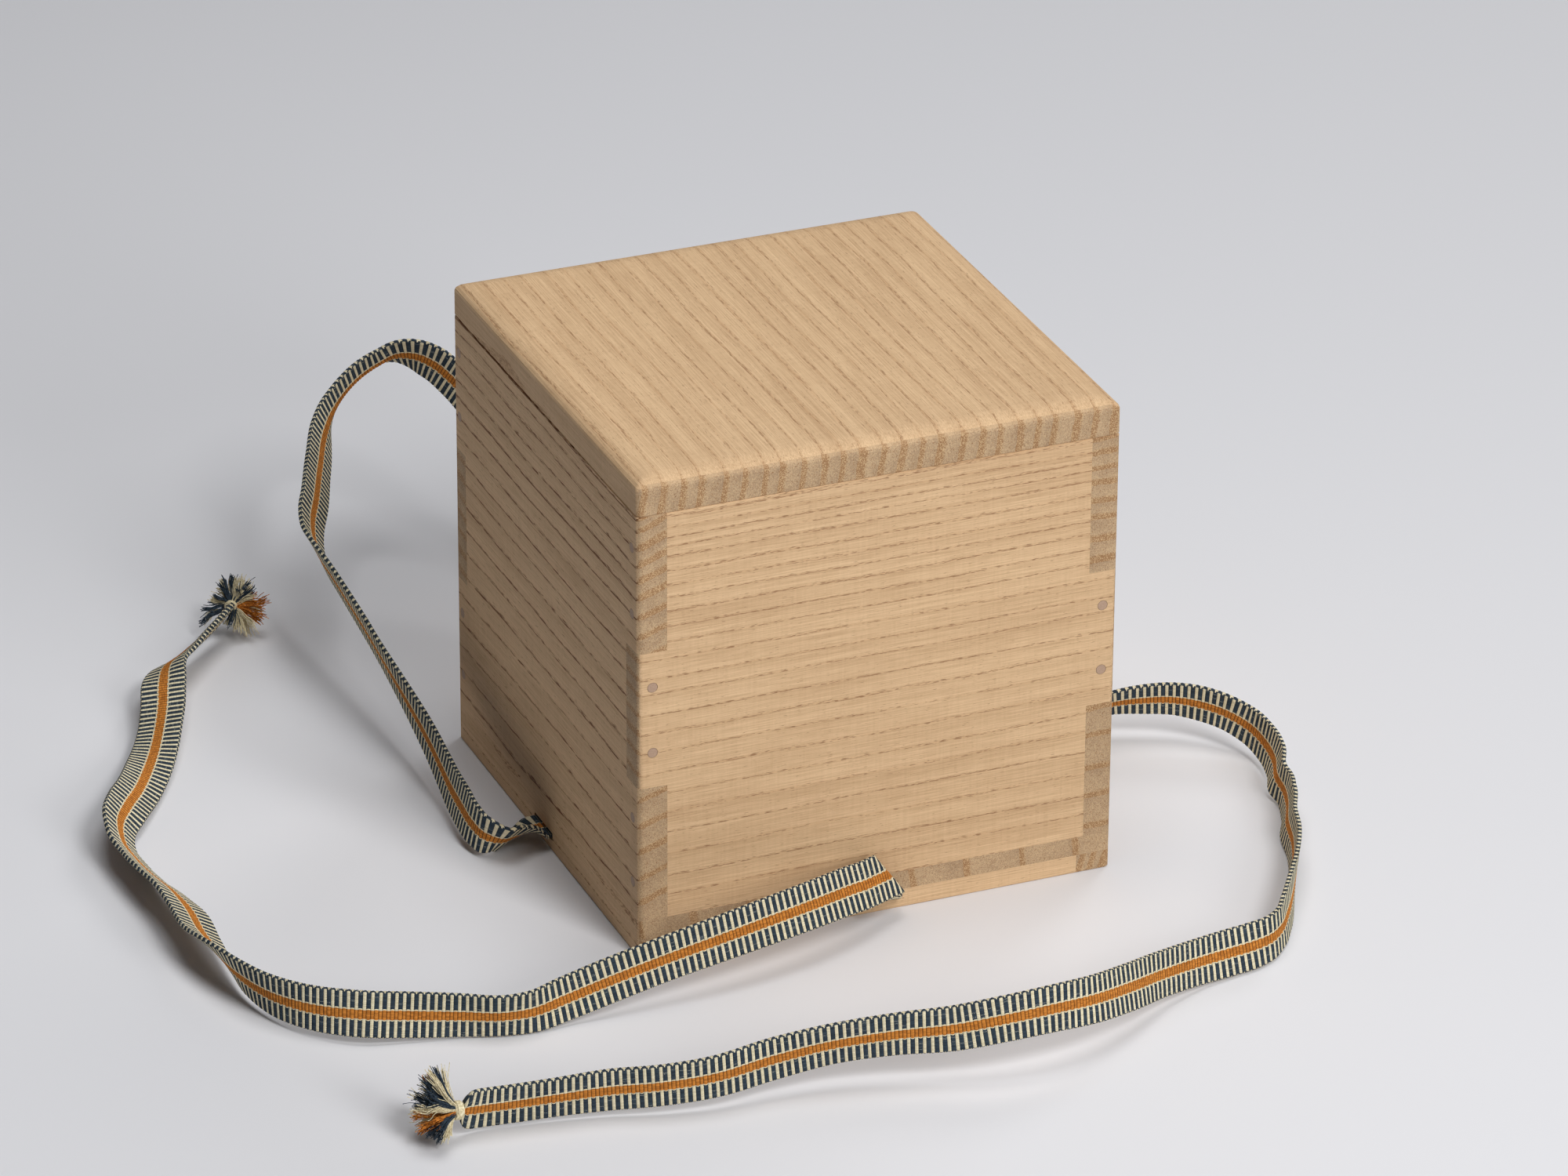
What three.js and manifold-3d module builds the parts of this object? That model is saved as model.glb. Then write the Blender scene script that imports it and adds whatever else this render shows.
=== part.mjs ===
// Wooden keepsake box with a pegged finger-jointed case, a lift-off lid and a flat woven tape.
// Millimetres. Origin: bottom centre of the case, +X along the front to the right, +Y to the back, +Z up.

import * as THREE from 'three';
import { mergeVertices } from 'three/addons/utils/BufferGeometryUtils.js';
import Module from 'manifold-3d';

const wasm = await Module();
wasm.setup();

// Case
const caseWidth = 150;
const caseDepth = 150;
const wallHeight = 130;
const wallThickness = 9;
const baseThickness = 6;
const footHeight = 6;
const footStripWidth = 11;
const cornerRadius = 1.8;
const edgeEase = 0.4;

// Corner pegs
const pegDiameter = 3;
const pegLength = 18;
const pegSpacing = 21;
const pegClearance = 0.1;

// Lid
const lidThickness = 11;
const lidRoundWidth = 8;
const lidRoundDrop = 3;
const battenWidth = 8;
const battenHeight = 6;
const battenClearance = 0.5;

// Tape and the slots it runs through
const tapeWidth = 14;
const tapeThickness = 2;
const slotSideClearance = 0.5;
const runGap = 0.3;
const sideRunOffset = 2.5;
const crossingFlat = 9;
const crossingRamp = 22;

// Ties and tassels
const tieLength = 2.4;
const tieRadius = 3.1;
const frontTassel = { radius: 10.3, length: 8, lift: 0.06 };
const rightTassel = { radius: 11.1, length: 10, lift: 0.22 };

const cutOverrun = 1;

// Levels worked out from the sizes above
const baseTop = footHeight + baseThickness;
const wallTop = baseTop + wallHeight;
const lidTop = wallTop + lidThickness;
const slotHeight = tapeThickness + runGap + runGap;
const slotFloor = footHeight - slotHeight;
const runLevel = footHeight - runGap - tapeThickness / 2;

const fingerCount = 3;
const fingerHeight = wallHeight / fingerCount;

const material = (color, roughness) => new THREE.MeshStandardMaterial({ color, roughness, metalness: 0 });
const wallWood = material(0xcfae84, 0.62);
const lidWood = material(0xd2b088, 0.6);
const footWood = material(0xc6a27a, 0.64);
const pegWood = material(0xa98f75, 0.6);
const wovenTape = material(0x6d6a5e, 0.9);
const tieThread = material(0xe2d8bf, 0.9);
const yarn = material(0x8d8577, 0.95);

const box = new THREE.Group();
const lid = new THREE.Group();

function addPiece(group, name, geometry, finish) {
  const mesh = new THREE.Mesh(geometry, finish);
  mesh.name = name;
  group.add(mesh);
  return mesh;
}

// Solids and meshes

function toSolid(geometry) {
  const bare = geometry.clone();
  bare.deleteAttribute('normal');
  bare.deleteAttribute('uv');
  const merged = mergeVertices(bare);
  return new wasm.Manifold(new wasm.Mesh({
    numProp: 3,
    vertProperties: new Float32Array(merged.attributes.position.array),
    triVerts: new Uint32Array(merged.index.array),
  }));
}

function toGeometry(solid) {
  const mesh = solid.getMesh();
  const geometry = new THREE.BufferGeometry();
  geometry.setAttribute('position', new THREE.BufferAttribute(new Float32Array(mesh.vertProperties), 3));
  geometry.setIndex(new THREE.BufferAttribute(new Uint32Array(mesh.triVerts), 1));
  geometry.computeVertexNormals();
  return geometry;
}

function block(low, high) {
  const size = new THREE.Vector3().subVectors(high, low);
  const geometry = new THREE.BoxGeometry(size.x, size.y, size.z);
  geometry.translate(low.x + size.x / 2, low.y + size.y / 2, low.z + size.z / 2);
  return geometry;
}

const point = (x, y, z) => new THREE.Vector3(x, y, z);

function roundedRectangle(width, depth, radius) {
  const shape = new THREE.Shape();
  const halfWidth = width / 2;
  const halfDepth = depth / 2;
  shape.absarc(halfWidth - radius, halfDepth - radius, radius, 0, Math.PI / 2);
  shape.absarc(radius - halfWidth, halfDepth - radius, radius, Math.PI / 2, Math.PI);
  shape.absarc(radius - halfWidth, radius - halfDepth, radius, Math.PI, Math.PI * 3 / 2);
  shape.absarc(halfWidth - radius, radius - halfDepth, radius, Math.PI * 3 / 2, Math.PI * 2);
  return shape;
}

// A closed skin over rings of points that all have the same count, with flat ends
function loft(rings) {
  const count = rings[0].length;
  const vertices = rings.flat();
  const triangles = [];
  for (let ring = 0; ring < rings.length - 1; ring += 1) {
    for (let index = 0; index < count; index += 1) {
      const next = (index + 1) % count;
      const near = ring * count;
      const far = near + count;
      triangles.push([near + index, near + next, far + next]);
      triangles.push([near + index, far + next, far + index]);
    }
  }
  const last = (rings.length - 1) * count;
  for (let index = 1; index < count - 1; index += 1) {
    triangles.push([0, index + 1, index]);
    triangles.push([last, last + index, last + index + 1]);
  }
  const volume = triangles.reduce((sum, [a, b, c]) => {
    const cross = new THREE.Vector3().crossVectors(vertices[b], vertices[c]);
    return sum + vertices[a].dot(cross);
  }, 0);
  const outward = volume > 0 ? triangles : triangles.map(([a, b, c]) => [a, c, b]);
  const geometry = new THREE.BufferGeometry().setFromPoints(vertices);
  geometry.setIndex(outward.flat());
  geometry.computeVertexNormals();
  return geometry;
}

// Case: everything is trimmed to one outer form with rounded corners and eased edges

const arcSteps = 5;

function caseForm() {
  const outline = roundedRectangle(caseWidth, caseDepth, cornerRadius);
  const geometry = new THREE.ExtrudeGeometry(outline, {
    depth: wallTop - edgeEase - edgeEase,
    bevelEnabled: true,
    bevelThickness: edgeEase,
    bevelSize: edgeEase,
    bevelOffset: -edgeEase,
    bevelSegments: 1,
    curveSegments: arcSteps,
  });
  geometry.translate(0, 0, edgeEase);
  return toSolid(geometry);
}

// Face outline of a side board: its ends step out by a wall thickness at the fingers
function boardOutline(length, fingerAtLevel) {
  const reach = fingerAtLevel.map((hasFinger) => length / 2 - (hasFinger ? 0 : wallThickness));
  const shape = new THREE.Shape();
  shape.moveTo(-reach[0], 0);
  shape.lineTo(reach[0], 0);
  reach.forEach((half, level) => {
    const top = fingerHeight * (level + 1);
    shape.lineTo(half, top);
    const above = reach[level + 1] ?? half;
    shape.lineTo(above, top);
  });
  [...reach].reverse().forEach((half, step) => {
    const level = reach.length - 1 - step;
    const bottom = fingerHeight * level;
    shape.lineTo(-half, fingerHeight * (level + 1));
    shape.lineTo(-half, bottom);
  });
  return shape;
}

// A board standing on the base with its outer face at the given distance from the centre
function standingBoard(outline, outerFace) {
  const geometry = new THREE.ExtrudeGeometry(outline, { depth: wallThickness, bevelEnabled: false });
  geometry.rotateX(Math.PI / 2);
  geometry.translate(0, wallThickness - outerFace, baseTop);
  return geometry;
}

const pegSides = 20;

// A rod along Y with its outer end at the face and the rest inside the wood
function rod(radius, length, outerFace, overrun) {
  const geometry = new THREE.CylinderGeometry(radius, radius, length + overrun, pegSides);
  geometry.translate(0, (length - overrun) / 2 - outerFace, 0);
  return geometry;
}

const quarterTurn = Math.PI / 2;
const cornerInset = wallThickness / 2;

function fingerMiddle(level) {
  return baseTop + fingerHeight * (level + 1 / 2);
}

// Places of the pegs on one corner column, as seen on the front or the side face
const frontPegLevels = [1];
const sidePegLevels = [0, 2];

function pegPlaces() {
  const places = [];
  const faces = [
    { face: 'front', turn: 0, outer: caseDepth / 2, across: caseWidth / 2, levels: frontPegLevels },
    { face: 'right', turn: 1, outer: caseWidth / 2, across: caseDepth / 2, levels: sidePegLevels },
    { face: 'back', turn: 2, outer: caseDepth / 2, across: caseWidth / 2, levels: frontPegLevels },
    { face: 'left', turn: 3, outer: caseWidth / 2, across: caseDepth / 2, levels: sidePegLevels },
  ];
  for (const { face, turn, outer, across, levels } of faces) {
    for (const side of [-1, 1]) {
      for (const level of levels) {
        for (const step of [-1, 1]) {
          places.push({
            name: `peg_${face}_${side < 0 ? 'a' : 'b'}${level * 2 + (step < 0 ? 1 : 2)}`,
            turn,
            outer,
            x: side * (across - cornerInset),
            z: fingerMiddle(level) + step * pegSpacing / 2,
          });
        }
      }
    }
  }
  return places;
}

function rodAt(place, radius, length, overrun) {
  const geometry = rod(radius, length, place.outer, overrun);
  geometry.translate(place.x, 0, place.z);
  geometry.rotateZ(place.turn * quarterTurn);
  return geometry;
}

function buildCase() {
  const form = caseForm();
  const places = pegPlaces();
  const holeRadius = pegDiameter / 2 + pegClearance;
  const holes = places.map((place) => toSolid(rodAt(place, holeRadius, pegLength + pegClearance, cutOverrun)));
  const trim = (geometry, cutters) => {
    const cut = cutters.reduce((solid, cutter) => solid.subtract(cutter), toSolid(geometry));
    return toGeometry(cut.intersect(form));
  };

  const boards = [
    { name: 'front_board', length: caseWidth, fingers: [false, true, false], outer: caseDepth / 2, turn: 0 },
    { name: 'right_board', length: caseDepth, fingers: [true, false, true], outer: caseWidth / 2, turn: 1 },
    { name: 'back_board', length: caseWidth, fingers: [false, true, false], outer: caseDepth / 2, turn: 2 },
    { name: 'left_board', length: caseDepth, fingers: [true, false, true], outer: caseWidth / 2, turn: 3 },
  ];
  for (const { name, length, fingers, outer, turn } of boards) {
    const geometry = standingBoard(boardOutline(length, fingers), outer);
    geometry.rotateZ(turn * quarterTurn);
    addPiece(box, name, trim(geometry, holes), wallWood);
  }

  for (const place of places) {
    const peg = rodAt(place, pegDiameter / 2, pegLength, 0);
    addPiece(box, place.name, toGeometry(toSolid(peg)), pegWood);
  }

  const halfWidth = caseWidth / 2;
  const halfDepth = caseDepth / 2;
  const base = block(point(-halfWidth, -halfDepth, footHeight), point(halfWidth, halfDepth, baseTop));
  addPiece(box, 'base_board', trim(base, []), footWood);

  const slotHalf = tapeWidth / 2 + slotSideClearance;
  const sideSlots = toSolid(block(
    point(-halfWidth - cutOverrun, sideRunOffset - slotHalf, slotFloor),
    point(halfWidth + cutOverrun, sideRunOffset + slotHalf, footHeight + cutOverrun),
  ));
  const endSlots = toSolid(block(
    point(-slotHalf, -halfDepth - cutOverrun, slotFloor),
    point(slotHalf, halfDepth + cutOverrun, footHeight + cutOverrun),
  ));
  const innerX = halfWidth - footStripWidth;
  const innerY = halfDepth - footStripWidth;
  const strips = [
    { name: 'foot_left', low: point(-halfWidth, -halfDepth, 0), high: point(-innerX, halfDepth, footHeight) },
    { name: 'foot_right', low: point(innerX, -halfDepth, 0), high: point(halfWidth, halfDepth, footHeight) },
    { name: 'foot_front', low: point(-innerX, -halfDepth, 0), high: point(innerX, -innerY, footHeight) },
    { name: 'foot_back', low: point(-innerX, innerY, 0), high: point(innerX, halfDepth, footHeight) },
  ];
  for (const { name, low, high } of strips) {
    addPiece(box, name, trim(block(low, high), [sideSlots, endSlots]), footWood);
  }
}

// Lid: a panel with elliptical top edges over a frame of four battens

const roundSteps = 6;

function lidPanel() {
  const ringAt = (inset, z) => {
    const outline = roundedRectangle(caseWidth - inset - inset, caseDepth - inset - inset, cornerRadius);
    return outline.extractPoints(arcSteps).shape.map(({ x, y }) => point(x, y, z));
  };
  const rings = [ringAt(edgeEase, wallTop), ringAt(0, wallTop + edgeEase)];
  for (let step = 0; step <= roundSteps; step += 1) {
    const angle = (step / roundSteps) * quarterTurn;
    const inset = lidRoundWidth * (1 - Math.cos(angle));
    rings.push(ringAt(inset, lidTop - lidRoundDrop * (1 - Math.sin(angle))));
  }
  return loft(rings);
}

function buildLid() {
  addPiece(lid, 'lid_panel', lidPanel(), lidWood);
  const outerX = caseWidth / 2 - wallThickness - battenClearance;
  const outerY = caseDepth / 2 - wallThickness - battenClearance;
  const innerX = outerX - battenWidth;
  const bottom = wallTop - battenHeight;
  const battens = [
    { name: 'lid_batten_left', low: point(-outerX, -outerY, bottom), high: point(-innerX, outerY, wallTop) },
    { name: 'lid_batten_right', low: point(innerX, -outerY, bottom), high: point(outerX, outerY, wallTop) },
    {
      name: 'lid_batten_front',
      low: point(-innerX, -outerY, bottom),
      high: point(innerX, battenWidth - outerY, wallTop),
    },
    {
      name: 'lid_batten_back',
      low: point(-innerX, outerY - battenWidth, bottom),
      high: point(innerX, outerY, wallTop),
    },
  ];
  for (const { name, low, high } of battens) {
    addPiece(lid, name, block(low, high), lidWood);
  }
}

// Tape: each row is the middle of the tape, then the way its upper edge lies,
// then its share of the full width and how far its lower half is folded back, in degrees

function tapeRings(rows, width, thickness) {
  const middles = rows.map(([x, y, z]) => point(x, y, z));
  return rows.map((row, index) => {
    const before = middles[Math.max(index - 1, 0)];
    const after = middles[Math.min(index + 1, rows.length - 1)];
    const along = new THREE.Vector3().subVectors(after, before).normalize();
    const edge = point(row[3], row[4], row[5]);
    edge.addScaledVector(along, -edge.dot(along)).normalize();
    const face = new THREE.Vector3().crossVectors(along, edge);
    const halfWidth = width / 2 * (row[6] ?? 1);
    const fold = THREE.MathUtils.degToRad(row[7] ?? 0);
    const lowerEdge = edge.clone().multiplyScalar(-Math.cos(fold)).addScaledVector(face, -Math.sin(fold));
    const lowerFace = face.clone().multiplyScalar(Math.cos(fold)).addScaledVector(edge, -Math.sin(fold));
    const middleFace = face.clone().add(lowerFace).normalize();
    const skin = thickness / 2;
    const rim = [
      [edge, halfWidth, face],
      [edge, 0, middleFace],
      [lowerEdge, halfWidth, lowerFace],
    ];
    const offset = ([across, far, out], side) => middles[index].clone()
      .addScaledVector(across, far)
      .addScaledVector(out, side * skin);
    return [...rim.map((place) => offset(place, 1)), ...[...rim].reverse().map((place) => offset(place, -1))];
  });
}

const halfWidthOut = caseWidth / 2 + runGap;
const halfDepthOut = caseDepth / 2 + runGap;
const straightOut = 1.6;

const frontRoute = [
  [0, -halfDepthOut, runLevel, -1, 0, 0],
  [0, -76.1, runLevel, -1, 0, 0],
  [0, -77.2, 5.2, -0.99, 0, 0.1],
  [0.1, -77.8, 6.3, -0.95, 0, 0.3],
  [0.3, -78.2, 8.2, -0.87, 0.02, 0.5],
  [0.8, -78.5, 10.4, -0.78, 0.06, 0.62],
  [1.2, -79, 12.3, -0.69, 0.15, 0.71],
  [1.3, -79.9, 13.6, -0.62, 0.24, 0.75],
  [0.8, -81.1, 14.6, -0.56, 0.32, 0.77],
  [-1, -82.5, 15.3, -0.42, 0.4, 0.81],
  [-4.6, -84, 16.1, -0.3, 0.45, 0.84],
  [-8.9, -86.1, 16.7, -0.2, 0.48, 0.86],
  [-12.9, -88.3, 17.2, -0.16, 0.45, 0.88],
  [-28.8, -94.5, 18.3, -0.18, 0.38, 0.91],
  [-43.5, -98.2, 18.1, -0.19, 0.3, 0.93],
  [-58, -100.7, 17.1, -0.21, 0.22, 0.95],
  [-79.3, -102.3, 14.3, -0.28, 0.15, 0.95],
  [-94.9, -102.4, 11.1, -0.31, 0.17, 0.93],
  [-108.7, -103, 8.4, -0.28, 0.1, 0.95],
  [-118.7, -104.6, 7.4, -0.22, -0.03, 0.97],
  [-127.5, -103.8, 7.4, -0.1, -0.1, 0.99],
  [-138.5, -99.6, 7.6, 0, 0, 1],
  [-151.7, -95.5, 8.3, 0.06, 0.14, 0.99],
  [-166.2, -90.9, 9.3, 0.07, 0.2, 0.97],
  [-177.3, -82.6, 9.2, 0, 0.13, 0.99],
  [-185.6, -71, 9, -0.08, 0, 1],
  [-190.2, -57.9, 9.2, -0.22, -0.25, 0.94],
  [-192.3, -42.7, 9.4, -0.52, -0.42, 0.74],
  [-192.7, -27.5, 8.6, -0.82, -0.15, 0.55],
  [-191.9, -13.9, 8.6, -0.86, 0, 0.5],
  [-192.8, -0.7, 8.4, -0.7, -0.3, 0.6],
  [-194.6, 12.3, 7.4, -0.52, -0.6, 0.6],
  [-195.1, 24.2, 6.2, -0.5, -0.65, 0.57],
  [-195.7, 35.6, 6.8, -0.6, -0.5, 0.62],
  [-193.5, 45.7, 7.9, -0.7, -0.2, 0.68],
  [-187.8, 55.4, 7.6, -0.79, 0.12, 0.6],
  [-181, 65.8, 6.4, -0.8, 0.2, 0.55],
  [-173.7, 78.8, 5.4, -0.9, 0.3, 0.3],
  [-167.6, 90.5, 5, -0.94, 0.35, 0],
  [-161.6, 103.1, 6, -0.89, 0.39, -0.2],
  [-157.3, 113.3, 7.8, -0.89, 0.42, -0.16],
  [-153.7, 123.2, 9.8, -0.88, 0.45, -0.16],
  [-149.3, 132.5, 10.2, -0.75, 0.42, -0.45, 0.95],
  [-141.5, 140.5, 9.4, -0.6, 0.45, -0.66, 0.86],
  [-132.5, 149.5, 9.2, -0.44, 0.4, -0.8, 0.74],
  [-124, 158, 9.8, -0.39, 0.386, -0.83, 0.56],
  [-119, 163.2, 10.5, -0.39, 0.386, -0.83, 0.42],
];

const rightRoute = [
  [halfWidthOut, sideRunOffset, runLevel, 0, -1, 0],
  [halfWidthOut + straightOut, sideRunOffset, runLevel, 0, -1, 0],
  [82, 2, 5.5, 0, -0.97, 0.2],
  [91, 0.2, 8.8, -0.1, -0.85, 0.5],
  [100, -2, 12.2, -0.2, -0.65, 0.75],
  [108.8, -4.3, 14.3, -0.25, -0.5, 0.83],
  [117, -7, 15.1, -0.2, -0.38, 0.9],
  [125, -10.5, 15.4, -0.17, -0.3, 0.94],
  [132.2, -15.5, 14.8, -0.06, -0.26, 0.96],
  [138.3, -21.5, 13.3, 0.03, -0.3, 0.95],
  [143.1, -27.9, 10.8, 0.11, -0.3, 0.95],
  [144.2, -37.5, 9.3, 0.13, -0.34, 0.93],
  [142.5, -47.4, 8.8, 0.13, -0.42, 0.9],
  [139, -56.5, 8.2, 0.08, -0.5, 0.86],
  [138.3, -62.8, 7.4, 0, -0.56, 0.82],
  [135.4, -71.5, 7.5, -0.04, -0.55, 0.83],
  [130.4, -81.9, 7.4, 0.03, -0.5, 0.86],
  [126.5, -93.7, 7.4, -0.02, -0.47, 0.88],
  [120.7, -106.2, 7.4, -0.08, -0.4, 0.92],
  [113, -120, 7.4, -0.24, -0.34, 0.91],
  [105, -132.8, 7.6, -0.33, -0.28, 0.9],
  [100, -139.5, 7.4, -0.3, -0.18, 0.93],
  [94.4, -144.1, 7.4, -0.23, 0.06, 0.97],
  [88, -146.1, 7.3, -0.24, 0.24, 0.94],
  [80.1, -147.4, 7.3, -0.24, 0.28, 0.93],
  [70.3, -149.8, 8, -0.2, 0.2, 0.95],
  [54.2, -156.8, 10.6, -0.2, 0.14, 0.97],
  [39.4, -166, 14.2, -0.22, 0.22, 0.95],
  [23.9, -173.8, 17.4, -0.15, 0.25, 0.96],
  [11.5, -177, 19.1, -0.08, 0.22, 0.97],
  [-3, -177, 18.9, -0.06, 0.18, 0.98],
  [-18, -173.5, 16.9, -0.06, 0.12, 0.99],
  [-35, -169, 16.2, -0.04, -0.05, 1],
  [-52, -165.3, 14.8, -0.08, -0.1, 0.99],
  [-68.9, -163.6, 12.7, -0.16, -0.02, 0.99],
  [-87.1, -164, 11, -0.16, -0.05, 0.99],
  [-102.1, -161.3, 10, -0.1, -0.08, 0.99],
  [-115.9, -157.1, 9.3, -0.07, -0.08, 1],
  [-130.1, -154.5, 8.7, -0.07, -0.17, 0.98],
  [-143.1, -152.5, 8.3, -0.07, -0.19, 0.98],
  [-152.5, -151.6, 8.4, -0.1, -0.2, 0.97],
  [-154.8, -151.73, 8.62, -0.1, -0.2, 0.97, 0.98],
  [-156.2, -151.81, 8.82, -0.1, -0.2, 0.97, 0.9],
  [-157.1, -151.855, 8.967, -0.1, -0.2, 0.97, 0.72],
  [-157.6, -151.883, 9.05, -0.1, -0.2, 0.97, 0.55],
  [-157.9, -151.9, 9.1, -0.1, -0.2, 0.97, 0.38],
];

const loopRoute = [
  [-halfWidthOut, sideRunOffset, runLevel, 0, -1, 0],
  [-halfWidthOut - straightOut, sideRunOffset, runLevel, 0, -1, 0],
  [-80.5, 1.6, 5.1, 0, -0.94, 0.34],
  [-86, -1.3, 5.7, -0.1, -0.77, 0.63],
  [-90.8, -3.7, 6.7, 0, -0.6, 0.8],
  [-95.1, -2, 8.1, 0.08, -0.25, 0.96],
  [-96.8, 4.1, 9.4, 0.16, -0.13, 0.98],
  [-96.6, 12.3, 10.2, 0.2, -0.11, 0.97],
  [-95.9, 23.6, 11, 0.16, -0.1, 0.98],
  [-95.2, 34, 13, 0.1, -0.09, 0.99],
  [-94.8, 45, 15.9, 0.03, -0.08, 1],
  [-95.6, 68, 22.8, -0.15, -0.08, 0.98],
  [-96.4, 82, 27, -0.24, -0.09, 0.97],
  [-97.2, 95, 31.1, -0.27, -0.11, 0.96],
  [-98.2, 108, 35, -0.3, -0.14, 0.95],
  [-99, 119, 38, -0.33, -0.18, 0.93],
  [-99.6, 130, 40.3, -0.4, -0.2, 0.9],
  [-98.8, 139.8, 42, -0.54, -0.22, 0.82],
  [-96.3, 148.2, 43.7, -0.6, -0.22, 0.78],
  [-91.8, 157.8, 45.5, -0.62, -0.23, 0.76],
  [-83.9, 175.8, 48.5, -0.63, -0.25, 0.75, 1, 5],
  [-76.5, 191.2, 52, -0.63, -0.28, 0.73, 1, 15],
  [-70.5, 199.5, 54.8, -0.57, -0.3, 0.77, 1, 35],
  [-64.8, 204.1, 57.9, -0.48, -0.3, 0.82, 1, 52],
  [-58.5, 207.1, 61, -0.41, -0.31, 0.86, 1, 55],
  [-52.3, 208.3, 63.6, -0.3, -0.36, 0.89, 1, 45],
  [-46.4, 207.5, 66.2, -0.1, -0.44, 0.89, 1, 18],
  [-41, 204.5, 66.5, 0.1, -0.45, 0.89],
  [-36.3, 200.5, 64.6, 0.22, -0.36, 0.91],
  [-32.1, 195, 60.8, 0.28, -0.3, 0.91],
  [-26, 181, 52, 0.4, -0.3, 0.87],
  [-20, 163, 42, 0.5, -0.3, 0.8],
  [-14.5, 143, 32, 0.6, -0.25, 0.75],
  [-9, 122, 22, 0.7, -0.2, 0.68],
  [-5, 104, 14, 0.8, -0.15, 0.57],
  [-2.5, 92, 9, 0.9, -0.1, 0.4],
  [-0.7, 83, 5.8, 0.97, -0.03, 0.2],
  [0, halfDepthOut + straightOut, runLevel, 1, 0, 0],
  [0, halfDepthOut, runLevel, 1, 0, 0],
];

// The run under the base from front to back dips under the one from left to right
function frontBackRun() {
  const dip = tapeThickness + runGap;
  const rampSteps = 6;
  const rows = [[0, -caseDepth / 2, runLevel, -1, 0, 0]];
  for (const side of [-1, 1]) {
    for (let step = 0; step <= rampSteps; step += 1) {
      const share = side < 0 ? step / rampSteps : 1 - step / rampSteps;
      const away = crossingFlat + crossingRamp * (1 - share);
      const eased = (1 - Math.cos(share * Math.PI)) / 2;
      rows.push([0, sideRunOffset + side * away, runLevel - dip * eased, -1, 0, 0]);
    }
  }
  rows.push([0, caseDepth / 2, runLevel, -1, 0, 0]);
  return rows;
}

const leftRightRun = [
  [-caseWidth / 2, sideRunOffset, runLevel, 0, -1, 0],
  [caseWidth / 2, sideRunOffset, runLevel, 0, -1, 0],
];

const turnSides = 24;

// A turned piece that starts at a place and points along a direction
function turned(profile, start, direction) {
  const geometry = new THREE.LatheGeometry(profile.map(([x, y]) => new THREE.Vector2(x, y)), turnSides);
  const turn = new THREE.Quaternion().setFromUnitVectors(point(0, 1, 0), direction);
  geometry.applyQuaternion(turn);
  geometry.translate(start.x, start.y, start.z);
  return toGeometry(toSolid(geometry));
}

const tieShoulderShare = 0.8;
const tieShoulderLengthShare = 0.2;
const tasselShares = [
  [0.22, 0],
  [0.55, 0.1],
  [0.85, 0.3],
  [1, 0.56],
  [0.93, 0.8],
  [0.66, 1],
];

function buildTapeEnd(side, route, { radius, length, lift }) {
  const [last, before] = [route.at(-1), route.at(-2)];
  const end = point(last[0], last[1], last[2]);
  const along = end.clone().sub(point(before[0], before[1], before[2])).normalize();
  const direction = along.clone().setZ(lift).normalize();
  const tieStart = end.clone().addScaledVector(direction, runGap);
  const shoulder = tieLength * tieShoulderLengthShare;
  addPiece(box, `tie_${side}`, turned([
    [0, 0],
    [tieRadius * tieShoulderShare, 0],
    [tieRadius, shoulder],
    [tieRadius, tieLength - shoulder],
    [tieRadius * tieShoulderShare, tieLength],
    [0, tieLength],
  ], tieStart, direction), tieThread);
  const tasselStart = tieStart.clone().addScaledVector(direction, tieLength + runGap);
  const outline = tasselShares.map(([out, up]) => [out * radius, up * length]);
  addPiece(box, `tassel_${side}`, turned([[0, 0], ...outline, [0, length]], tasselStart, direction), yarn);
}

function buildTape() {
  const stretches = [
    ['cord_under_front_back', frontBackRun()],
    ['cord_under_left_right', leftRightRun],
    ['cord_front_stretch', frontRoute],
    ['cord_right_stretch', rightRoute],
    ['cord_standing_loop', loopRoute],
  ];
  for (const [name, rows] of stretches) {
    addPiece(box, name, loft(tapeRings(rows, tapeWidth, tapeThickness)), wovenTape);
  }
  buildTapeEnd('front', frontRoute, frontTassel);
  buildTapeEnd('right', rightRoute, rightTassel);
}

buildCase();
buildLid();
buildTape();
box.add(lid);

export default box;
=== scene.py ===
import math
import random

import bmesh
import bpy
from mathutils import Matrix, Vector


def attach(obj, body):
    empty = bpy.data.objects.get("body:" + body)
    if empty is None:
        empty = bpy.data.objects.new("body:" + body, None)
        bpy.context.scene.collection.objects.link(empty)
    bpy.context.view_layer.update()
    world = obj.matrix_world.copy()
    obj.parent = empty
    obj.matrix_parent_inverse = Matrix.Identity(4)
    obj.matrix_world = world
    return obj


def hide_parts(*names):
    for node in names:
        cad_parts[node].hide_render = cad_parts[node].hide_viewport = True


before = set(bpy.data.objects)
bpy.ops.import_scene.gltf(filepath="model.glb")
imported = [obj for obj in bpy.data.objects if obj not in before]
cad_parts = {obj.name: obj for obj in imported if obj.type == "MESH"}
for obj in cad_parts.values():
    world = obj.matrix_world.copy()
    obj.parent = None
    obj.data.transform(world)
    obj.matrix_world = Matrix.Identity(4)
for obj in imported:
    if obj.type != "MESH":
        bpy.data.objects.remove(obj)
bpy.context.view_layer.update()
scene = bpy.context.scene
print("frame loaded")

# Camera

shot = {
    "place": (-0.8013, -1.9322, 1.1174),
    "forward": (0.34302, 0.82602, -0.44725),
    "right": (0.92453, -0.38108, 0.00526),
    "lens": 180.7,
    "clip": (0.05, 50.0),
}


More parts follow.
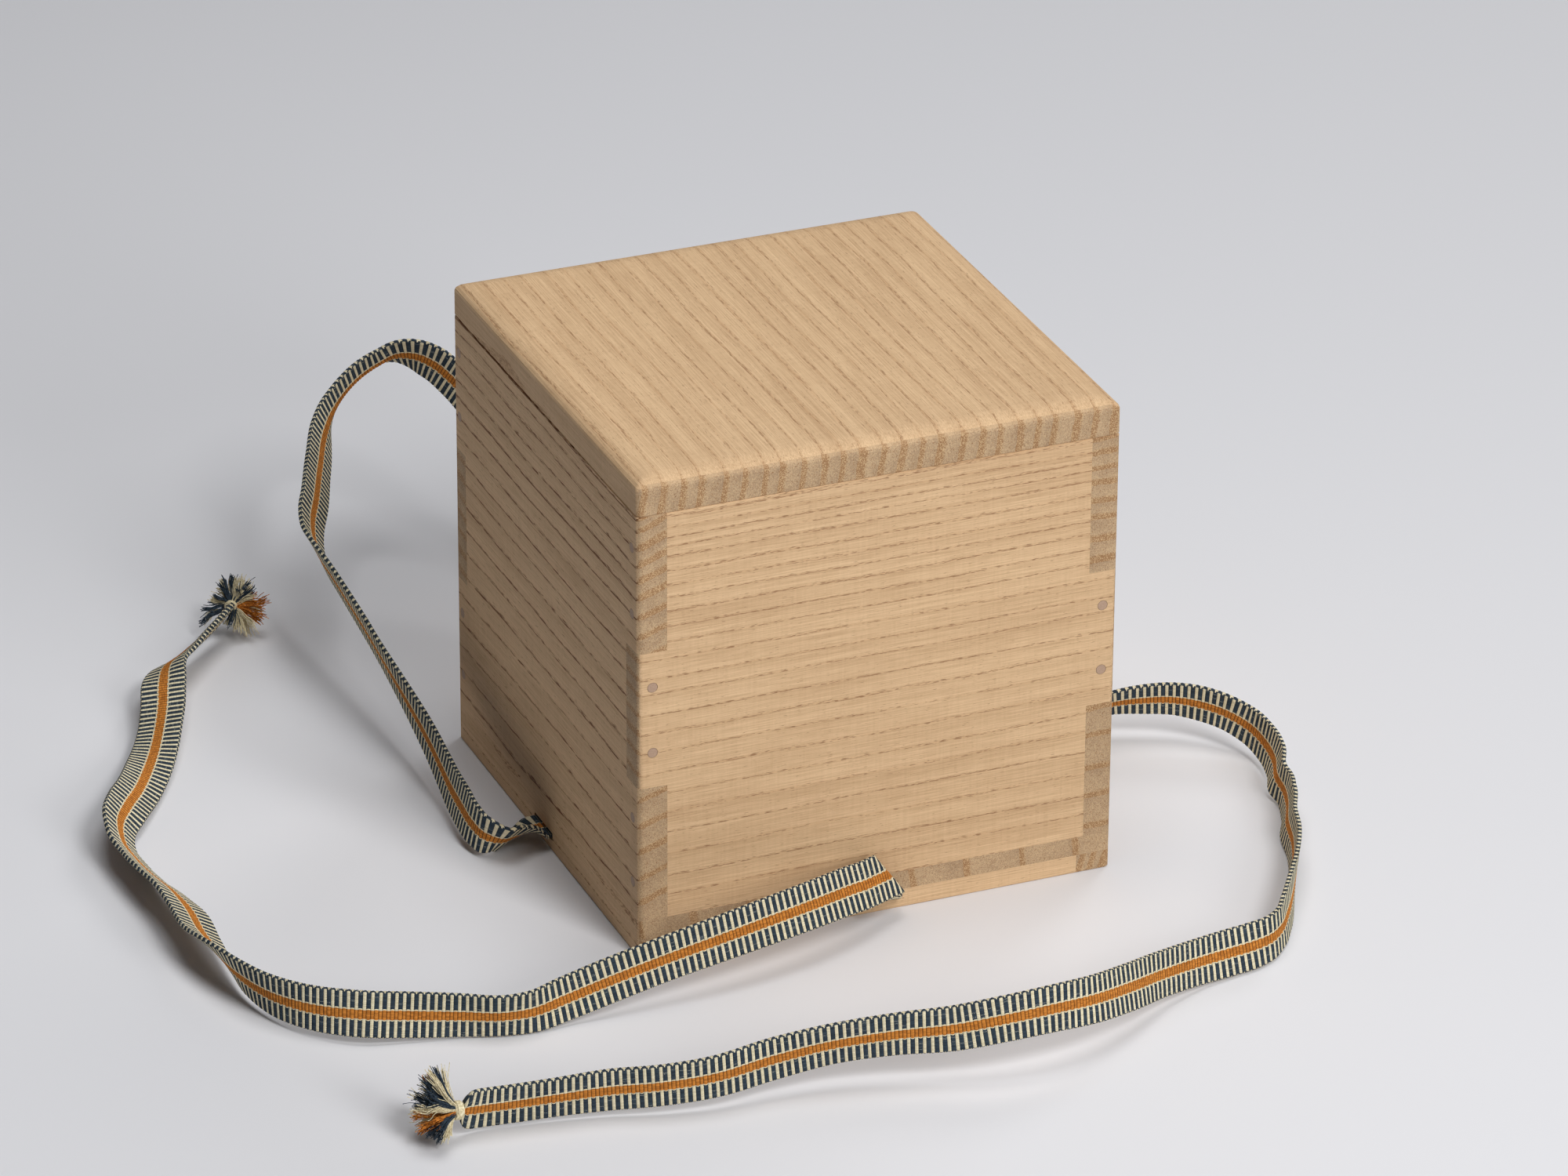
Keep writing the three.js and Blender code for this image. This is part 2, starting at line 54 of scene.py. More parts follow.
def setCamera():
    data = bpy.data.cameras.new("camera")
    data.lens = shot["lens"]
    data.clip_start, data.clip_end = shot["clip"]
    camera = bpy.data.objects.new("camera", data)
    scene.collection.objects.link(camera)
    scene.camera = camera
    back = -Vector(shot["forward"]).normalized()
    right = Vector(shot["right"])
    right = (right - back * right.dot(back)).normalized()
    turn = Matrix((right, back.cross(right), back)).transposed()
    camera.matrix_world = Matrix.Translation(Vector(shot["place"])) @ turn.to_4x4()


setCamera()
print("camera set")

# Shader tools: a wire is a socket that can be used in sums


class Wire:
    def __init__(self, sheet, socket):
        self.sheet = sheet
        self.socket = socket

    def other(self, name):
        return Wire(self.sheet, self.socket.node.outputs[name])

    def __add__(self, term):
        return self.sheet.math("ADD", self, term)

    def __sub__(self, term):
        return self.sheet.math("SUBTRACT", self, term)

    def __rsub__(self, term):
        return self.sheet.math("SUBTRACT", term, self)

    def __mul__(self, term):
        return self.sheet.math("MULTIPLY", self, term)

    def __truediv__(self, term):
        return self.sheet.math("DIVIDE", self, term)

    def __rtruediv__(self, term):
        return self.sheet.math("DIVIDE", term, self)

    __radd__ = __add__
    __rmul__ = __mul__


class Sheet:
    def __init__(self, name):
        self.material = bpy.data.materials.new(name)
        self.material.use_nodes = True
        self.tree = self.material.node_tree
        self.tree.nodes.clear()

    def node(self, kind, settings=None, inputs=None, outlet=0):
        made = self.tree.nodes.new(kind)
        for name, value in (settings or {}).items():
            setattr(made, name, value)
        for key, value in (inputs or {}).items():
            if isinstance(value, Wire):
                self.tree.links.new(value.socket, made.inputs[key])
            else:
                made.inputs[key].default_value = value
        return Wire(self, made.outputs[outlet]) if made.outputs else made

    def math(self, operation, *terms):
        return self.node("ShaderNodeMath", {"operation": operation}, dict(enumerate(terms)))

    def smooth(self, value, low, high):
        settings = {"interpolation_type": "SMOOTHSTEP"}
        return self.node("ShaderNodeMapRange", settings, {"Value": value, "From Min": low, "From Max": high})

    def band(self, value, start, end):
        return self.smooth(value, *start) * (1 - self.smooth(value, *end))

    def join(self, x, y, z):
        return self.node("ShaderNodeCombineXYZ", None, {0: x, 1: y, 2: z})

    def split(self, vector):
        first = self.node("ShaderNodeSeparateXYZ", None, {0: vector})
        return first, first.other("Y"), first.other("Z")

    def noise(self, vector, detail=2.0, rough=0.5):
        inputs = {"Vector": vector, "Scale": 1.0, "Detail": detail, "Roughness": rough}
        return self.node("ShaderNodeTexNoise", None, inputs, "Fac")

    def mix(self, share, first, second, blend="MIX"):
        settings = {"data_type": "RGBA", "blend_type": blend, "clamp_factor": True}
        return self.node("ShaderNodeMix", settings, {0: share, 6: first, 7: second}, 2)

    def shaded(self, colour, share):
        return self.mix(1.0, colour, self.join(share, share, share), "MULTIPLY")

    def scaled(self, place, scale):
        return self.node("ShaderNodeVectorMath", {"operation": "SCALE"}, {0: place, "Scale": scale})

    def millimetres(self):
        return self.scaled(self.node("ShaderNodeTexCoord", None, None, "Object"), 1000.0)

    def bump(self, height, distance, strength):
        inputs = {"Height": height, "Distance": distance, "Strength": strength}
        return self.node("ShaderNodeBump", None, inputs)

    def finish(self, inputs):
        surface = self.node("ShaderNodeBsdfPrincipled", None, inputs)
        self.node("ShaderNodeOutputMaterial", None, {"Surface": surface})
        return self.material


# A colour as a screen shows it, in levels up to 255, turned into the linear one that shaders take
def tint(red, green, blue):
    def linear(value):
        share = value / 255
        return share / 12.92 if share <= 0.04045 else ((share + 0.055) / 1.055) ** 2.4

    return linear(red), linear(green), linear(blue), 1.0


# A share from 0 to 1, squeezed to run from the least value to 1
def lifted(share, least):
    return share * (1 - least) + least


def addObject(name, mesh):
    piece = bpy.data.objects.new(name, mesh)
    scene.collection.objects.link(piece)
    return piece


def meshFrom(name, shape):
    mesh = bpy.data.meshes.new(name)
    shape.to_mesh(mesh)
    shape.free()
    mesh.shade_smooth()
    return mesh


# Tape: a flat woven ribbon, a rounded rib for each pick, dark and light ribs in turn

tape = {
    "width": 0.014,
    "halfThickness": 0.0007,
    "pickPair": 0.00226,  # a dark and a light rib
    "darkShare": 0.56,  # how much of a pair its dark rib takes
    "ribSteps": (0.0, 0.25, 0.5, 0.75),
    "ribDepth": 0.26,  # as a share of the half thickness
    "ribRound": 0.7,
    "creaseDepth": 0.12,
    "rim": 0.96,  # where the thinner rim starts, from the middle at 0 to the edge at 1
    "rimHeight": 0.6,
    "rimStop": 0.985,
    "scallop": 0.024,
    "pleats": 3.0,
    "pleatDepth": 0.0008,
    "gatheredSwell": 0.5,
    "foldRound": 0.2,  # how far from the middle a fold is still round
    "stops": (0.07, 0.18, 0.215, 0.25, 0.36, 0.6, 0.84, 0.95),  # from the middle to the edge
    "creases": (0.18, 0.25),
    "fineStep": 0.0001,
    "weld": 1e-7,
}

# Each row: the middle of the tape and the way its upper edge lies, then, where it is gathered or
# folded, its share of the full width and how far its lower half is folded back, in degrees
frontRoute = [
    (0, -0.0753, 0.0047, -1, 0, 0),
    (0, -0.0761, 0.0047, -1, 0, 0),
    (-0.00015, -0.0768, 0.005, -1, 0, 0.02),
    (-0.0005, -0.07715, 0.0058, -1, 0, 0.05),
    (-0.00065, -0.07751, 0.00788, -0.98, 0.08, 0.18),
    (-0.00015, -0.07775, 0.00927, -0.97, 0.14, 0.21),
    (0.00052, -0.07808, 0.01113, -0.97, 0.14, 0.21),
    (0.00117, -0.07845, 0.01298, -0.95, 0.2, 0.22),
    (0.00137, -0.07919, 0.01413, -0.88, 0.39, 0.25),
    (0.00113, -0.08018, 0.01493, -0.66, 0.62, 0.42),
    (0.00056, -0.08101, 0.01534, -0.39, 0.66, 0.64),
    (-0.0002, -0.0816, 0.01552, -0.15, 0.49, 0.86),
    (-0.00456, -0.08403, 0.01605, -0.15, 0.49, 0.86),
    (-0.0089, -0.08645, 0.01657, -0.15, 0.49, 0.86),
    (-0.01292, -0.08826, 0.01716, -0.16, 0.45, 0.88),
    (-0.02875, -0.09451, 0.01829, -0.18, 0.38, 0.91),
    (-0.04349, -0.09821, 0.01805, -0.19, 0.3, 0.93),
    (-0.05804, -0.10069, 0.01706, -0.21, 0.22, 0.95),
    (-0.07928, -0.10227, 0.0143, -0.28, 0.15, 0.95),
    (-0.09486, -0.1024, 0.01113, -0.31, 0.17, 0.93),
    (-0.10867, -0.10298, 0.0084, -0.28, 0.1, 0.95),
    (-0.11866, -0.10459, 0.0074, -0.22, -0.03, 0.97),
    (-0.12753, -0.10384, 0.0074, -0.1, -0.1, 0.99),
    (-0.13847, -0.09961, 0.0076, 0, 0, 1),
    (-0.15167, -0.09546, 0.0083, 0.06, 0.14, 0.99),
    (-0.16615, -0.09087, 0.0093, 0.07, 0.2, 0.97),
    (-0.17731, -0.08263, 0.0092, 0, 0.13, 0.99),
    (-0.18562, -0.071, 0.009, -0.08, 0, 1),
    (-0.19023, -0.05787, 0.0092, -0.22, -0.25, 0.94),
    (-0.19226, -0.04272, 0.0094, -0.52, -0.42, 0.74),
    (-0.19267, -0.02754, 0.0086, -0.82, -0.15, 0.55),
    (-0.19187, -0.01389, 0.0086, -0.86, 0, 0.5),
    (-0.19275, -0.00073, 0.0084, -0.7, -0.3, 0.6),
    (-0.19455, 0.01229, 0.0074, -0.52, -0.6, 0.6),
    (-0.19514, 0.02424, 0.0062, -0.5, -0.65, 0.57),
    (-0.19574, 0.03563, 0.0068, -0.6, -0.5, 0.62),
    (-0.19347, 0.04574, 0.0079, -0.7, -0.2, 0.68),
    (-0.18782, 0.05539, 0.0076, -0.79, 0.12, 0.6),
    (-0.18102, 0.06583, 0.0064, -0.8, 0.2, 0.55),
    (-0.17367, 0.07875, 0.0054, -0.9, 0.3, 0.3),
    (-0.1676, 0.09047, 0.005, -0.94, 0.35, 0),
    (-0.16161, 0.10311, 0.006, -0.89, 0.39, -0.2),
    (-0.15726, 0.11331, 0.0078, -0.89, 0.42, -0.16),
    (-0.15368, 0.12319, 0.0098, -0.88, 0.45, -0.16),
    (-0.14929, 0.13254, 0.0102, -0.75, 0.42, -0.45, 0.95),
    (-0.1415, 0.1405, 0.0094, -0.6, 0.45, -0.66, 0.86),
    (-0.1325, 0.1495, 0.0092, -0.44, 0.4, -0.8, 0.74),
    (-0.124, 0.158, 0.0098, -0.39, 0.386, -0.83, 0.56),
    (-0.119, 0.1632, 0.0105, -0.39, 0.386, -0.83, 0.42),
]
rightRoute = [
    (0.0753, 0.0025, 0.0047, 0, -1, 0),
    (0.0769, 0.0025, 0.0047, 0, -1, 0),
    (0.082, 0.002, 0.0055, 0, -0.97, 0.2),
    (0.091, 0.0002, 0.0088, -0.1, -0.85, 0.5),
    (0.1, -0.002, 0.0122, -0.2, -0.65, 0.75),
    (0.1088, -0.0043, 0.0143, -0.25, -0.5, 0.83),
    (0.11699, -0.007, 0.01507, -0.2, -0.38, 0.9),
    (0.12505, -0.0105, 0.01536, -0.17, -0.3, 0.94),
    (0.13218, -0.0155, 0.01475, -0.06, -0.26, 0.96),
    (0.13833, -0.0215, 0.01331, 0.03, -0.3, 0.95),
    (0.14312, -0.02785, 0.0108, 0.11, -0.3, 0.95),
    (0.14422, -0.03754, 0.0093, 0.13, -0.34, 0.93),
    (0.14248, -0.04742, 0.0088, 0.13, -0.42, 0.9),
    (0.139, -0.0565, 0.0082, 0.08, -0.5, 0.86),
    (0.1383, -0.0628, 0.0074, 0, -0.56, 0.82),
    (0.1354, -0.0715, 0.0075, -0.04, -0.55, 0.83),
    (0.13041, -0.08185, 0.0074, 0.03, -0.5, 0.86),
    (0.1265, -0.0937, 0.0074, -0.02, -0.47, 0.88),
    (0.1207, -0.1062, 0.0074, -0.08, -0.4, 0.92),
    (0.113, -0.12, 0.0074, -0.24, -0.34, 0.91),
    (0.105, -0.1328, 0.0076, -0.33, -0.28, 0.9),
    (0.1, -0.1395, 0.0074, -0.3, -0.18, 0.93),
    (0.09436, -0.14412, 0.0074, -0.23, 0.06, 0.97),
    (0.08795, -0.14609, 0.0073, -0.24, 0.24, 0.94),
    (0.08008, -0.14736, 0.0073, -0.24, 0.28, 0.93),
    (0.07035, -0.14981, 0.008, -0.2, 0.2, 0.95),
    (0.05418, -0.15683, 0.0106, -0.2, 0.14, 0.97),
    (0.03938, -0.166, 0.01416, -0.22, 0.22, 0.95),
    (0.02394, -0.1738, 0.01741, -0.15, 0.25, 0.96),
    (0.01147, -0.177, 0.01913, -0.08, 0.22, 0.97),
    (-0.00298, -0.177, 0.0189, -0.06, 0.18, 0.98),
    (-0.01796, -0.1735, 0.01694, -0.06, 0.12, 0.99),
    (-0.03502, -0.169, 0.01616, -0.04, -0.05, 1),
    (-0.05205, -0.1653, 0.01476, -0.08, -0.1, 0.99),
    (-0.06893, -0.16355, 0.0127, -0.16, -0.02, 0.99),
    (-0.08714, -0.16399, 0.011, -0.16, -0.05, 0.99),
    (-0.1021, -0.16133, 0.01, -0.1, -0.08, 0.99),
    (-0.11593, -0.15709, 0.0093, -0.07, -0.08, 1),
    (-0.13005, -0.15446, 0.0087, -0.07, -0.17, 0.98),
    (-0.14307, -0.15255, 0.0083, -0.07, -0.19, 0.98),
    (-0.1525, -0.1516, 0.0084, -0.1, -0.2, 0.97),
    (-0.1548, -0.15173, 0.00862, -0.1, -0.2, 0.97, 0.98),
    (-0.1562, -0.15181, 0.00882, -0.1, -0.2, 0.97, 0.9),
    (-0.1571, -0.151855, 0.008967, -0.1, -0.2, 0.97, 0.72),
    (-0.1576, -0.151883, 0.00905, -0.1, -0.2, 0.97, 0.55),
    (-0.1579, -0.1519, 0.0091, -0.1, -0.2, 0.97, 0.38),
]
loopRoute = [
    (-0.0753, 0.0025, 0.0047, 0, -1, 0),
    (-0.0769, 0.0025, 0.0047, 0, -1, 0),
    (-0.0805, 0.0016, 0.0051, 0, -0.94, 0.34),
    (-0.086, -0.0013, 0.0057, -0.1, -0.77, 0.63),
    (-0.0908, -0.0037, 0.0067, 0, -0.6, 0.8),
    (-0.0951, -0.00196, 0.0081, 0.08, -0.25, 0.96),
    (-0.09679, 0.00411, 0.0094, 0.16, -0.13, 0.98),
    (-0.0966, 0.01233, 0.0102, 0.2, -0.11, 0.97),
    (-0.09588, 0.02364, 0.011, 0.16, -0.1, 0.98),
    (-0.0952, 0.034, 0.013, 0.1, -0.09, 0.99),
    (-0.09482, 0.045, 0.01586, 0.03, -0.08, 1),
    (-0.0956, 0.068, 0.0228, -0.15, -0.08, 0.98),
    (-0.0964, 0.082, 0.027, -0.24, -0.09, 0.97),
    (-0.0972, 0.095, 0.0311, -0.27, -0.11, 0.96),
    (-0.0982, 0.108, 0.035, -0.3, -0.14, 0.95),
    (-0.099, 0.119, 0.038, -0.33, -0.18, 0.93),
    (-0.0996, 0.13, 0.0403, -0.4, -0.2, 0.9),
    (-0.0988, 0.1398, 0.042, -0.54, -0.22, 0.82),
    (-0.09626, 0.1482, 0.04374, -0.6, -0.22, 0.78),
    (-0.09176, 0.1578, 0.04549, -0.62, -0.23, 0.76),
    (-0.08387, 0.1758, 0.04849, -0.63, -0.25, 0.75, 1, 5),
    (-0.07645, 0.1912, 0.05198, -0.63, -0.28, 0.73, 1, 15),
    (-0.07046, 0.1995, 0.05479, -0.57, -0.3, 0.77, 1, 35),
    (-0.0648, 0.2041, 0.05791, -0.48, -0.3, 0.82, 1, 52),
    (-0.05847, 0.2071, 0.06103, -0.41, -0.31, 0.86, 1, 55),
    (-0.0523, 0.2083, 0.0636, -0.3, -0.36, 0.89, 1, 45),
    (-0.0464, 0.2075, 0.0662, -0.1, -0.44, 0.89, 1, 18),
    (-0.04095, 0.2045, 0.0665, 0.1, -0.45, 0.89),
    (-0.03629, 0.2005, 0.06458, 0.22, -0.36, 0.91),
    (-0.03212, 0.195, 0.06082, 0.28, -0.3, 0.91),
    (-0.026, 0.181, 0.052, 0.4, -0.3, 0.87),
    (-0.02, 0.163, 0.042, 0.5, -0.3, 0.8),
    (-0.0145, 0.143, 0.032, 0.6, -0.25, 0.75),
    (-0.009, 0.122, 0.022, 0.7, -0.2, 0.68),
    (-0.005, 0.104, 0.014, 0.8, -0.15, 0.57),
    (-0.0025, 0.092, 0.009, 0.9, -0.1, 0.4),
    (-0.0007, 0.083, 0.0058, 0.97, -0.03, 0.2),
    (0, 0.0769, 0.0047, 1, 0, 0),
    (0, 0.0753, 0.0047, 1, 0, 0),
]

# Held under the base; the front to back run dips under the other
leftRightRun = [
    (-0.075, 0.0025, 0.0047, 0, -1, 0),
    (-0.03, 0.0025, 0.0047, 0, -1, 0),
    (0.03, 0.0025, 0.0047, 0, -1, 0),
    (0.075, 0.0025, 0.0047, 0, -1, 0),
]
frontBackRun = [
    (0, -0.075, 0.0047, -1, 0, 0),
    (0, -0.0285, 0.0047, -1, 0, 0),
    (0, -0.02483, 0.00455, -1, 0, 0),
    (0, -0.02117, 0.00413, -1, 0, 0),
    (0, -0.0175, 0.00355, -1, 0, 0),
    (0, -0.01383, 0.00298, -1, 0, 0),
    (0, -0.01017, 0.00255, -1, 0, 0),
    (0, -0.0065, 0.0024, -1, 0, 0),
    (0, 0.0115, 0.0024, -1, 0, 0),
    (0, 0.01517, 0.00255, -1, 0, 0),
    (0, 0.01883, 0.00298, -1, 0, 0),
    (0, 0.0225, 0.00355, -1, 0, 0),
    (0, 0.02617, 0.00413, -1, 0, 0),
    (0, 0.02983, 0.00455, -1, 0, 0),
    (0, 0.0335, 0.0047, -1, 0, 0),
    (0, 0.075, 0.0047, -1, 0, 0),
]


# Close to the front slot the tape rolls over a slanting line, and lies out to the left from there
frontRoll = {
    "along": 0.01508,  # how far along the tape its middle meets the roll
    "middle": Vector((-0.0002, -0.0816, 0.01552)),
    "line": Vector((0.5765, -0.0697, -0.8141)),
    "heading": Vector((-0.8685, -0.4844, 0.1049)),
    "radius": 0.002,
    "turn": math.radians(127),
    "easeIn": (0.0036, 0.0072),
    "easeOut": (0.0225, 0.0285),
}


def easeStep(value, low, high):
    share = min(1.0, max(0.0, (value - low) / (high - low)))
    return share * share * (3 - 2 * share)


# Where a point of the flat tape lies once it is rolled, and which way its upper face looks
def rolledPoint(roll, distance, offset):
    line, heading = roll["line"].normalized(), roll["heading"].normalized()
    into = (line * heading.dot(line) - heading).normalized()
    face = into.cross(line)
    upward = (line * heading.dot(into) - into * heading.dot(line)).normalized()
    flat = heading * (distance - roll["along"]) + upward * offset
    reach = flat.dot(into)
    angle = min(max(reach / roll["radius"], 0.0), roll["turn"])
    ahead = into * math.cos(angle) + face * math.sin(angle)
    outward = face * math.cos(angle) - into * math.sin(angle)
    hub = roll["middle"] + face * roll["radius"]
    place = hub - outward * roll["radius"] + ahead * (reach - angle * roll["radius"])
    return place + line * flat.dot(line), outward


def fullRow(row):
    share = row[6] if len(row) > 6 else 1.0
    fold = row[7] if len(row) > 7 else 0.0
    return Vector((*row[:6], share, fold))


# Points on one smooth line through all rows, a fine step apart
def smoothLine(rows):
    knots = [fullRow(row) for row in rows]
    gaps = [(after - before).to_3d().length for before, after in zip(knots, knots[1:])]
    slopes = [(after - before) / gap for before, after, gap in zip(knots, knots[1:], gaps)]
    tangents = [slopes[0]]
    for near, far, first, second in zip(gaps, gaps[1:], slopes, slopes[1:]):
        tangents.append((first * far + second * near) / (near + far))
    tangents.append(slopes[-1])
    line = []
    for index, gap in enumerate(gaps):
        count = max(2, round(gap / tape["fineStep"]))
        start, end = knots[index], knots[index + 1]
        leave, arrive = tangents[index] * gap, tangents[index + 1] * gap
        for step in range(count):
            t = step / count
            line.append(
                start * (2 * t**3 - 3 * t**2 + 1)
                + leave * (t**3 - 2 * t**2 + t)
                + end * (3 * t**2 - 2 * t**3)
                + arrive * (t**3 - t**2)
            )
    line.append(knots[-1])
    return line


# The smooth line cut at every rib step, each with its count of picks
def pickLine(rows):
    line = smoothLine(rows)
    travelled = [0.0]
    for before, after in zip(line, line[1:]):
        travelled.append(travelled[-1] + (after - before).to_3d().length)
    total = travelled[-1]
    pairs = max(1, round(total / tape["pickPair"]))
    pair = total / pairs
    marks = []
    for index in range(pairs):
        for dark in (True, False):
            share = tape["darkShare"] if dark else 1 - tape["darkShare"]
            begin = index + (0 if dark else tape["darkShare"])
            for step in tape["ribSteps"]:
                marks.append(((begin + share * step) * pair, index * 2 + (0 if dark else 1) + step))
    marks.append((total, pairs * 2.0))
    cuts = []
    place = 0
    for distance, picks in marks:
        while place < len(travelled) - 2 and travelled[place + 1] < distance:
            place += 1
        span = travelled[place + 1] - travelled[place]
        share = min(1.0, (distance - travelled[place]) / span) if span else 0.0
        cuts.append((line[place].lerp(line[place + 1], share), picks, distance))
    return cuts, total


# Stops round the section: along the top from left to right, and back along the underside
def sectionStops():
    inner = tape["stops"]
    rim = tape["rimStop"]
    top = [-stop for stop in reversed(inner)] + list(inner)
    stops = [(-1.0, 0.0)] + [(stop, 1.0) for stop in [-rim, *top, rim]]
    stops += [(1.0, 0.0)] + [(stop, -1.0) for stop in [rim, *reversed(top), -rim]]
    return stops + [(-1.0, 0.0)]


def ribHeight(across, picks):
    swell = max(0.0, 1 - (2 * (picks % 1) - 1) ** 2) ** tape["ribRound"]
    away = abs(across)
    height = 1 - tape["ribDepth"] * (1 - swell)
    if away in tape["creases"]:
        height -= tape["creaseDepth"]
    if away > tape["rim"]:
        height *= tape["rimHeight"]
    return height, swell


def sectionPoint(cut, along, stop, roll):
    across, side = stop
    row, picks, distance = cut
    edge = Vector(row[3:6])
    edge = (edge - along * edge.dot(along)).normalized()
    face = along.cross(edge)
    share, fold = row[6], math.radians(row[7])
    lowerEdge = -edge * math.cos(fold) - face * math.sin(fold)
    lowerFace = face * math.cos(fold) - edge * math.sin(fold)
    reach = abs(across)
    middleFace = (face + lowerFace).normalized()
    outer = face if across > 0 else lowerFace
    outward = middleFace.lerp(outer, min(1.0, reach / tape["foldRound"])).normalized()
    height, swell = ribHeight(across, picks)
    if reach > tape["rim"]:
        reach += tape["scallop"] * (swell - 0.5)
    gathered = 1 - share
    thick = tape["halfThickness"] * height * (1 + gathered * tape["gatheredSwell"])
    pleat = tape["pleatDepth"] * gathered * math.sin(across * math.pi * tape["pleats"])
    offset = reach * tape["width"] / 2 * share
    place = Vector(row[:3]) + (edge if across > 0 else lowerEdge) * offset
    if roll and distance < roll["easeOut"][1]:
        rolledShare = easeStep(distance, *roll["easeIn"]) * (1 - easeStep(distance, *roll["easeOut"]))
        rolled, rolledFace = rolledPoint(roll, distance, math.copysign(offset, across))
        place = place.lerp(rolled, rolledShare)
        outward = outward.lerp(rolledFace, rolledShare).normalized()
    return place + outward * (side * thick + pleat)


def weaveRibbon(name, rows, roll=None):
    cuts, total = pickLine(rows)
    stops = sectionStops()
    farEdge = stops.index((1.0, 0.0))
    shape = bmesh.new()
    weave = shape.loops.layers.uv.new("weave")
    width, height = len(stops) - 1, len(cuts) - 1
    bmesh.ops.create_grid(shape, x_segments=width, y_segments=height, size=1.0)
    ways = []
    for index in range(len(cuts)):
        before, after = cuts[max(index - 1, 0)][0], cuts[min(index + 1, height)][0]
        ways.append((after - before).to_3d().normalized())
    spots = {}
    for vertex in shape.verts:
        column = round((vertex.co.x + 1) / 2 * width)
        row = round((vertex.co.y + 1) / 2 * height)
        spots[vertex] = (column, row)
        vertex.co = sectionPoint(cuts[row], ways[row], stops[column], roll)
    for face in shape.faces:
        for loop in face.loops:
            column, row = spots[loop.vert]
            across = stops[column][0]
            around = (across + 1) / 2 if column <= farEdge else 1 + (1 - across) / 2
            loop[weave].uv = (around, cuts[row][1])
    bmesh.ops.remove_doubles(shape, verts=shape.verts[:], dist=tape["weld"])
    rims = [edge for edge in shape.edges if edge.is_boundary]
    bmesh.ops.holes_fill(shape, edges=rims, sides=0)
    bmesh.ops.recalc_face_normals(shape, faces=shape.faces[:])

    # The path has one point for each pair of ribs, and the very end
    ribCuts = len(tape["ribSteps"])
    path = [cut[0][:3] for cut in cuts[:-ribCuts:ribCuts * 2]] + [cuts[-1][0][:3]]
    print(name, "length", round(total, 4), "faces", len(shape.faces))
    return addObject(name, meshFrom(name, shape)), path


# Tape material: the weave map runs once across the top and once back underneath, picks along it

weaveLook = {
    # Bands across the tape, from its middle at 0 to its edge at 1
    "orange": (0.178, 0.196),
    "creamLine": (0.222, 0.24),
    "selvedge": (0.935, 0.95),
    "side": (0.98, 0.99),
    "stripeWave": 0.03,  # how far the stripe bulges at each dark rib
    "selvedgeWave": 0.02,  # how far each light rib bulges over the selvedge
    # Marks along the tape, as shares of a pair of ribs
    "lightStart": (0.55, 0.57),
    "lightEnd": (0.985, 1.0),
    "bead": 0.035,  # how far each light warp bulges into the dark rib before it
    "tickStart": (0.2, 0.24),
    "tickEnd": (0.32, 0.36),
    "rungStart": (0.1, 0.16),
    "rungEnd": (0.5, 0.56),
    "rungSlant": 8.0,
    # Threads: how many warps lie across, and how fine the patterns are across and along
    "warps": 38.0,
    "fibreScale": (90.0, 5.0),
    "wobbleScale": (60.0, 0.9),
    "wobble": 0.16,  # how far the ribs wander, in picks
    # Tones: what single threads and fibres change, and where a pale thread shows in a dark rib
    "speckShare": 0.5,
    "fibreShare": 0.8,
    "varyBase": 0.15,
    "creamLift": 0.25,
    "orangeLift": 0.15,
    "fleckSpeck": (0.93, 0.95),
    "fleckFibre": (0.5, 0.62),
    "fleckShare": 0.7,
    # Shade between the ribs and between the warps: how much of a rib it takes, and the light left
    "furrow": (0.1, 0.75),
    "furrowShade": 0.4,
    "groove": (0.0, 0.5),
    "grooveShade": 0.58,
    "warpShade": 0.76,
    "warpHeight": 0.6,
    "fibreHeight": 0.4,
    "navy": (tint(30, 40, 51), tint(66, 80, 92)),
    "cream": (tint(205, 190, 150), tint(247, 236, 202)),
    "orangeYarn": (tint(140, 74, 22), tint(232, 150, 64)),
    "fleck": tint(190, 190, 176),
}


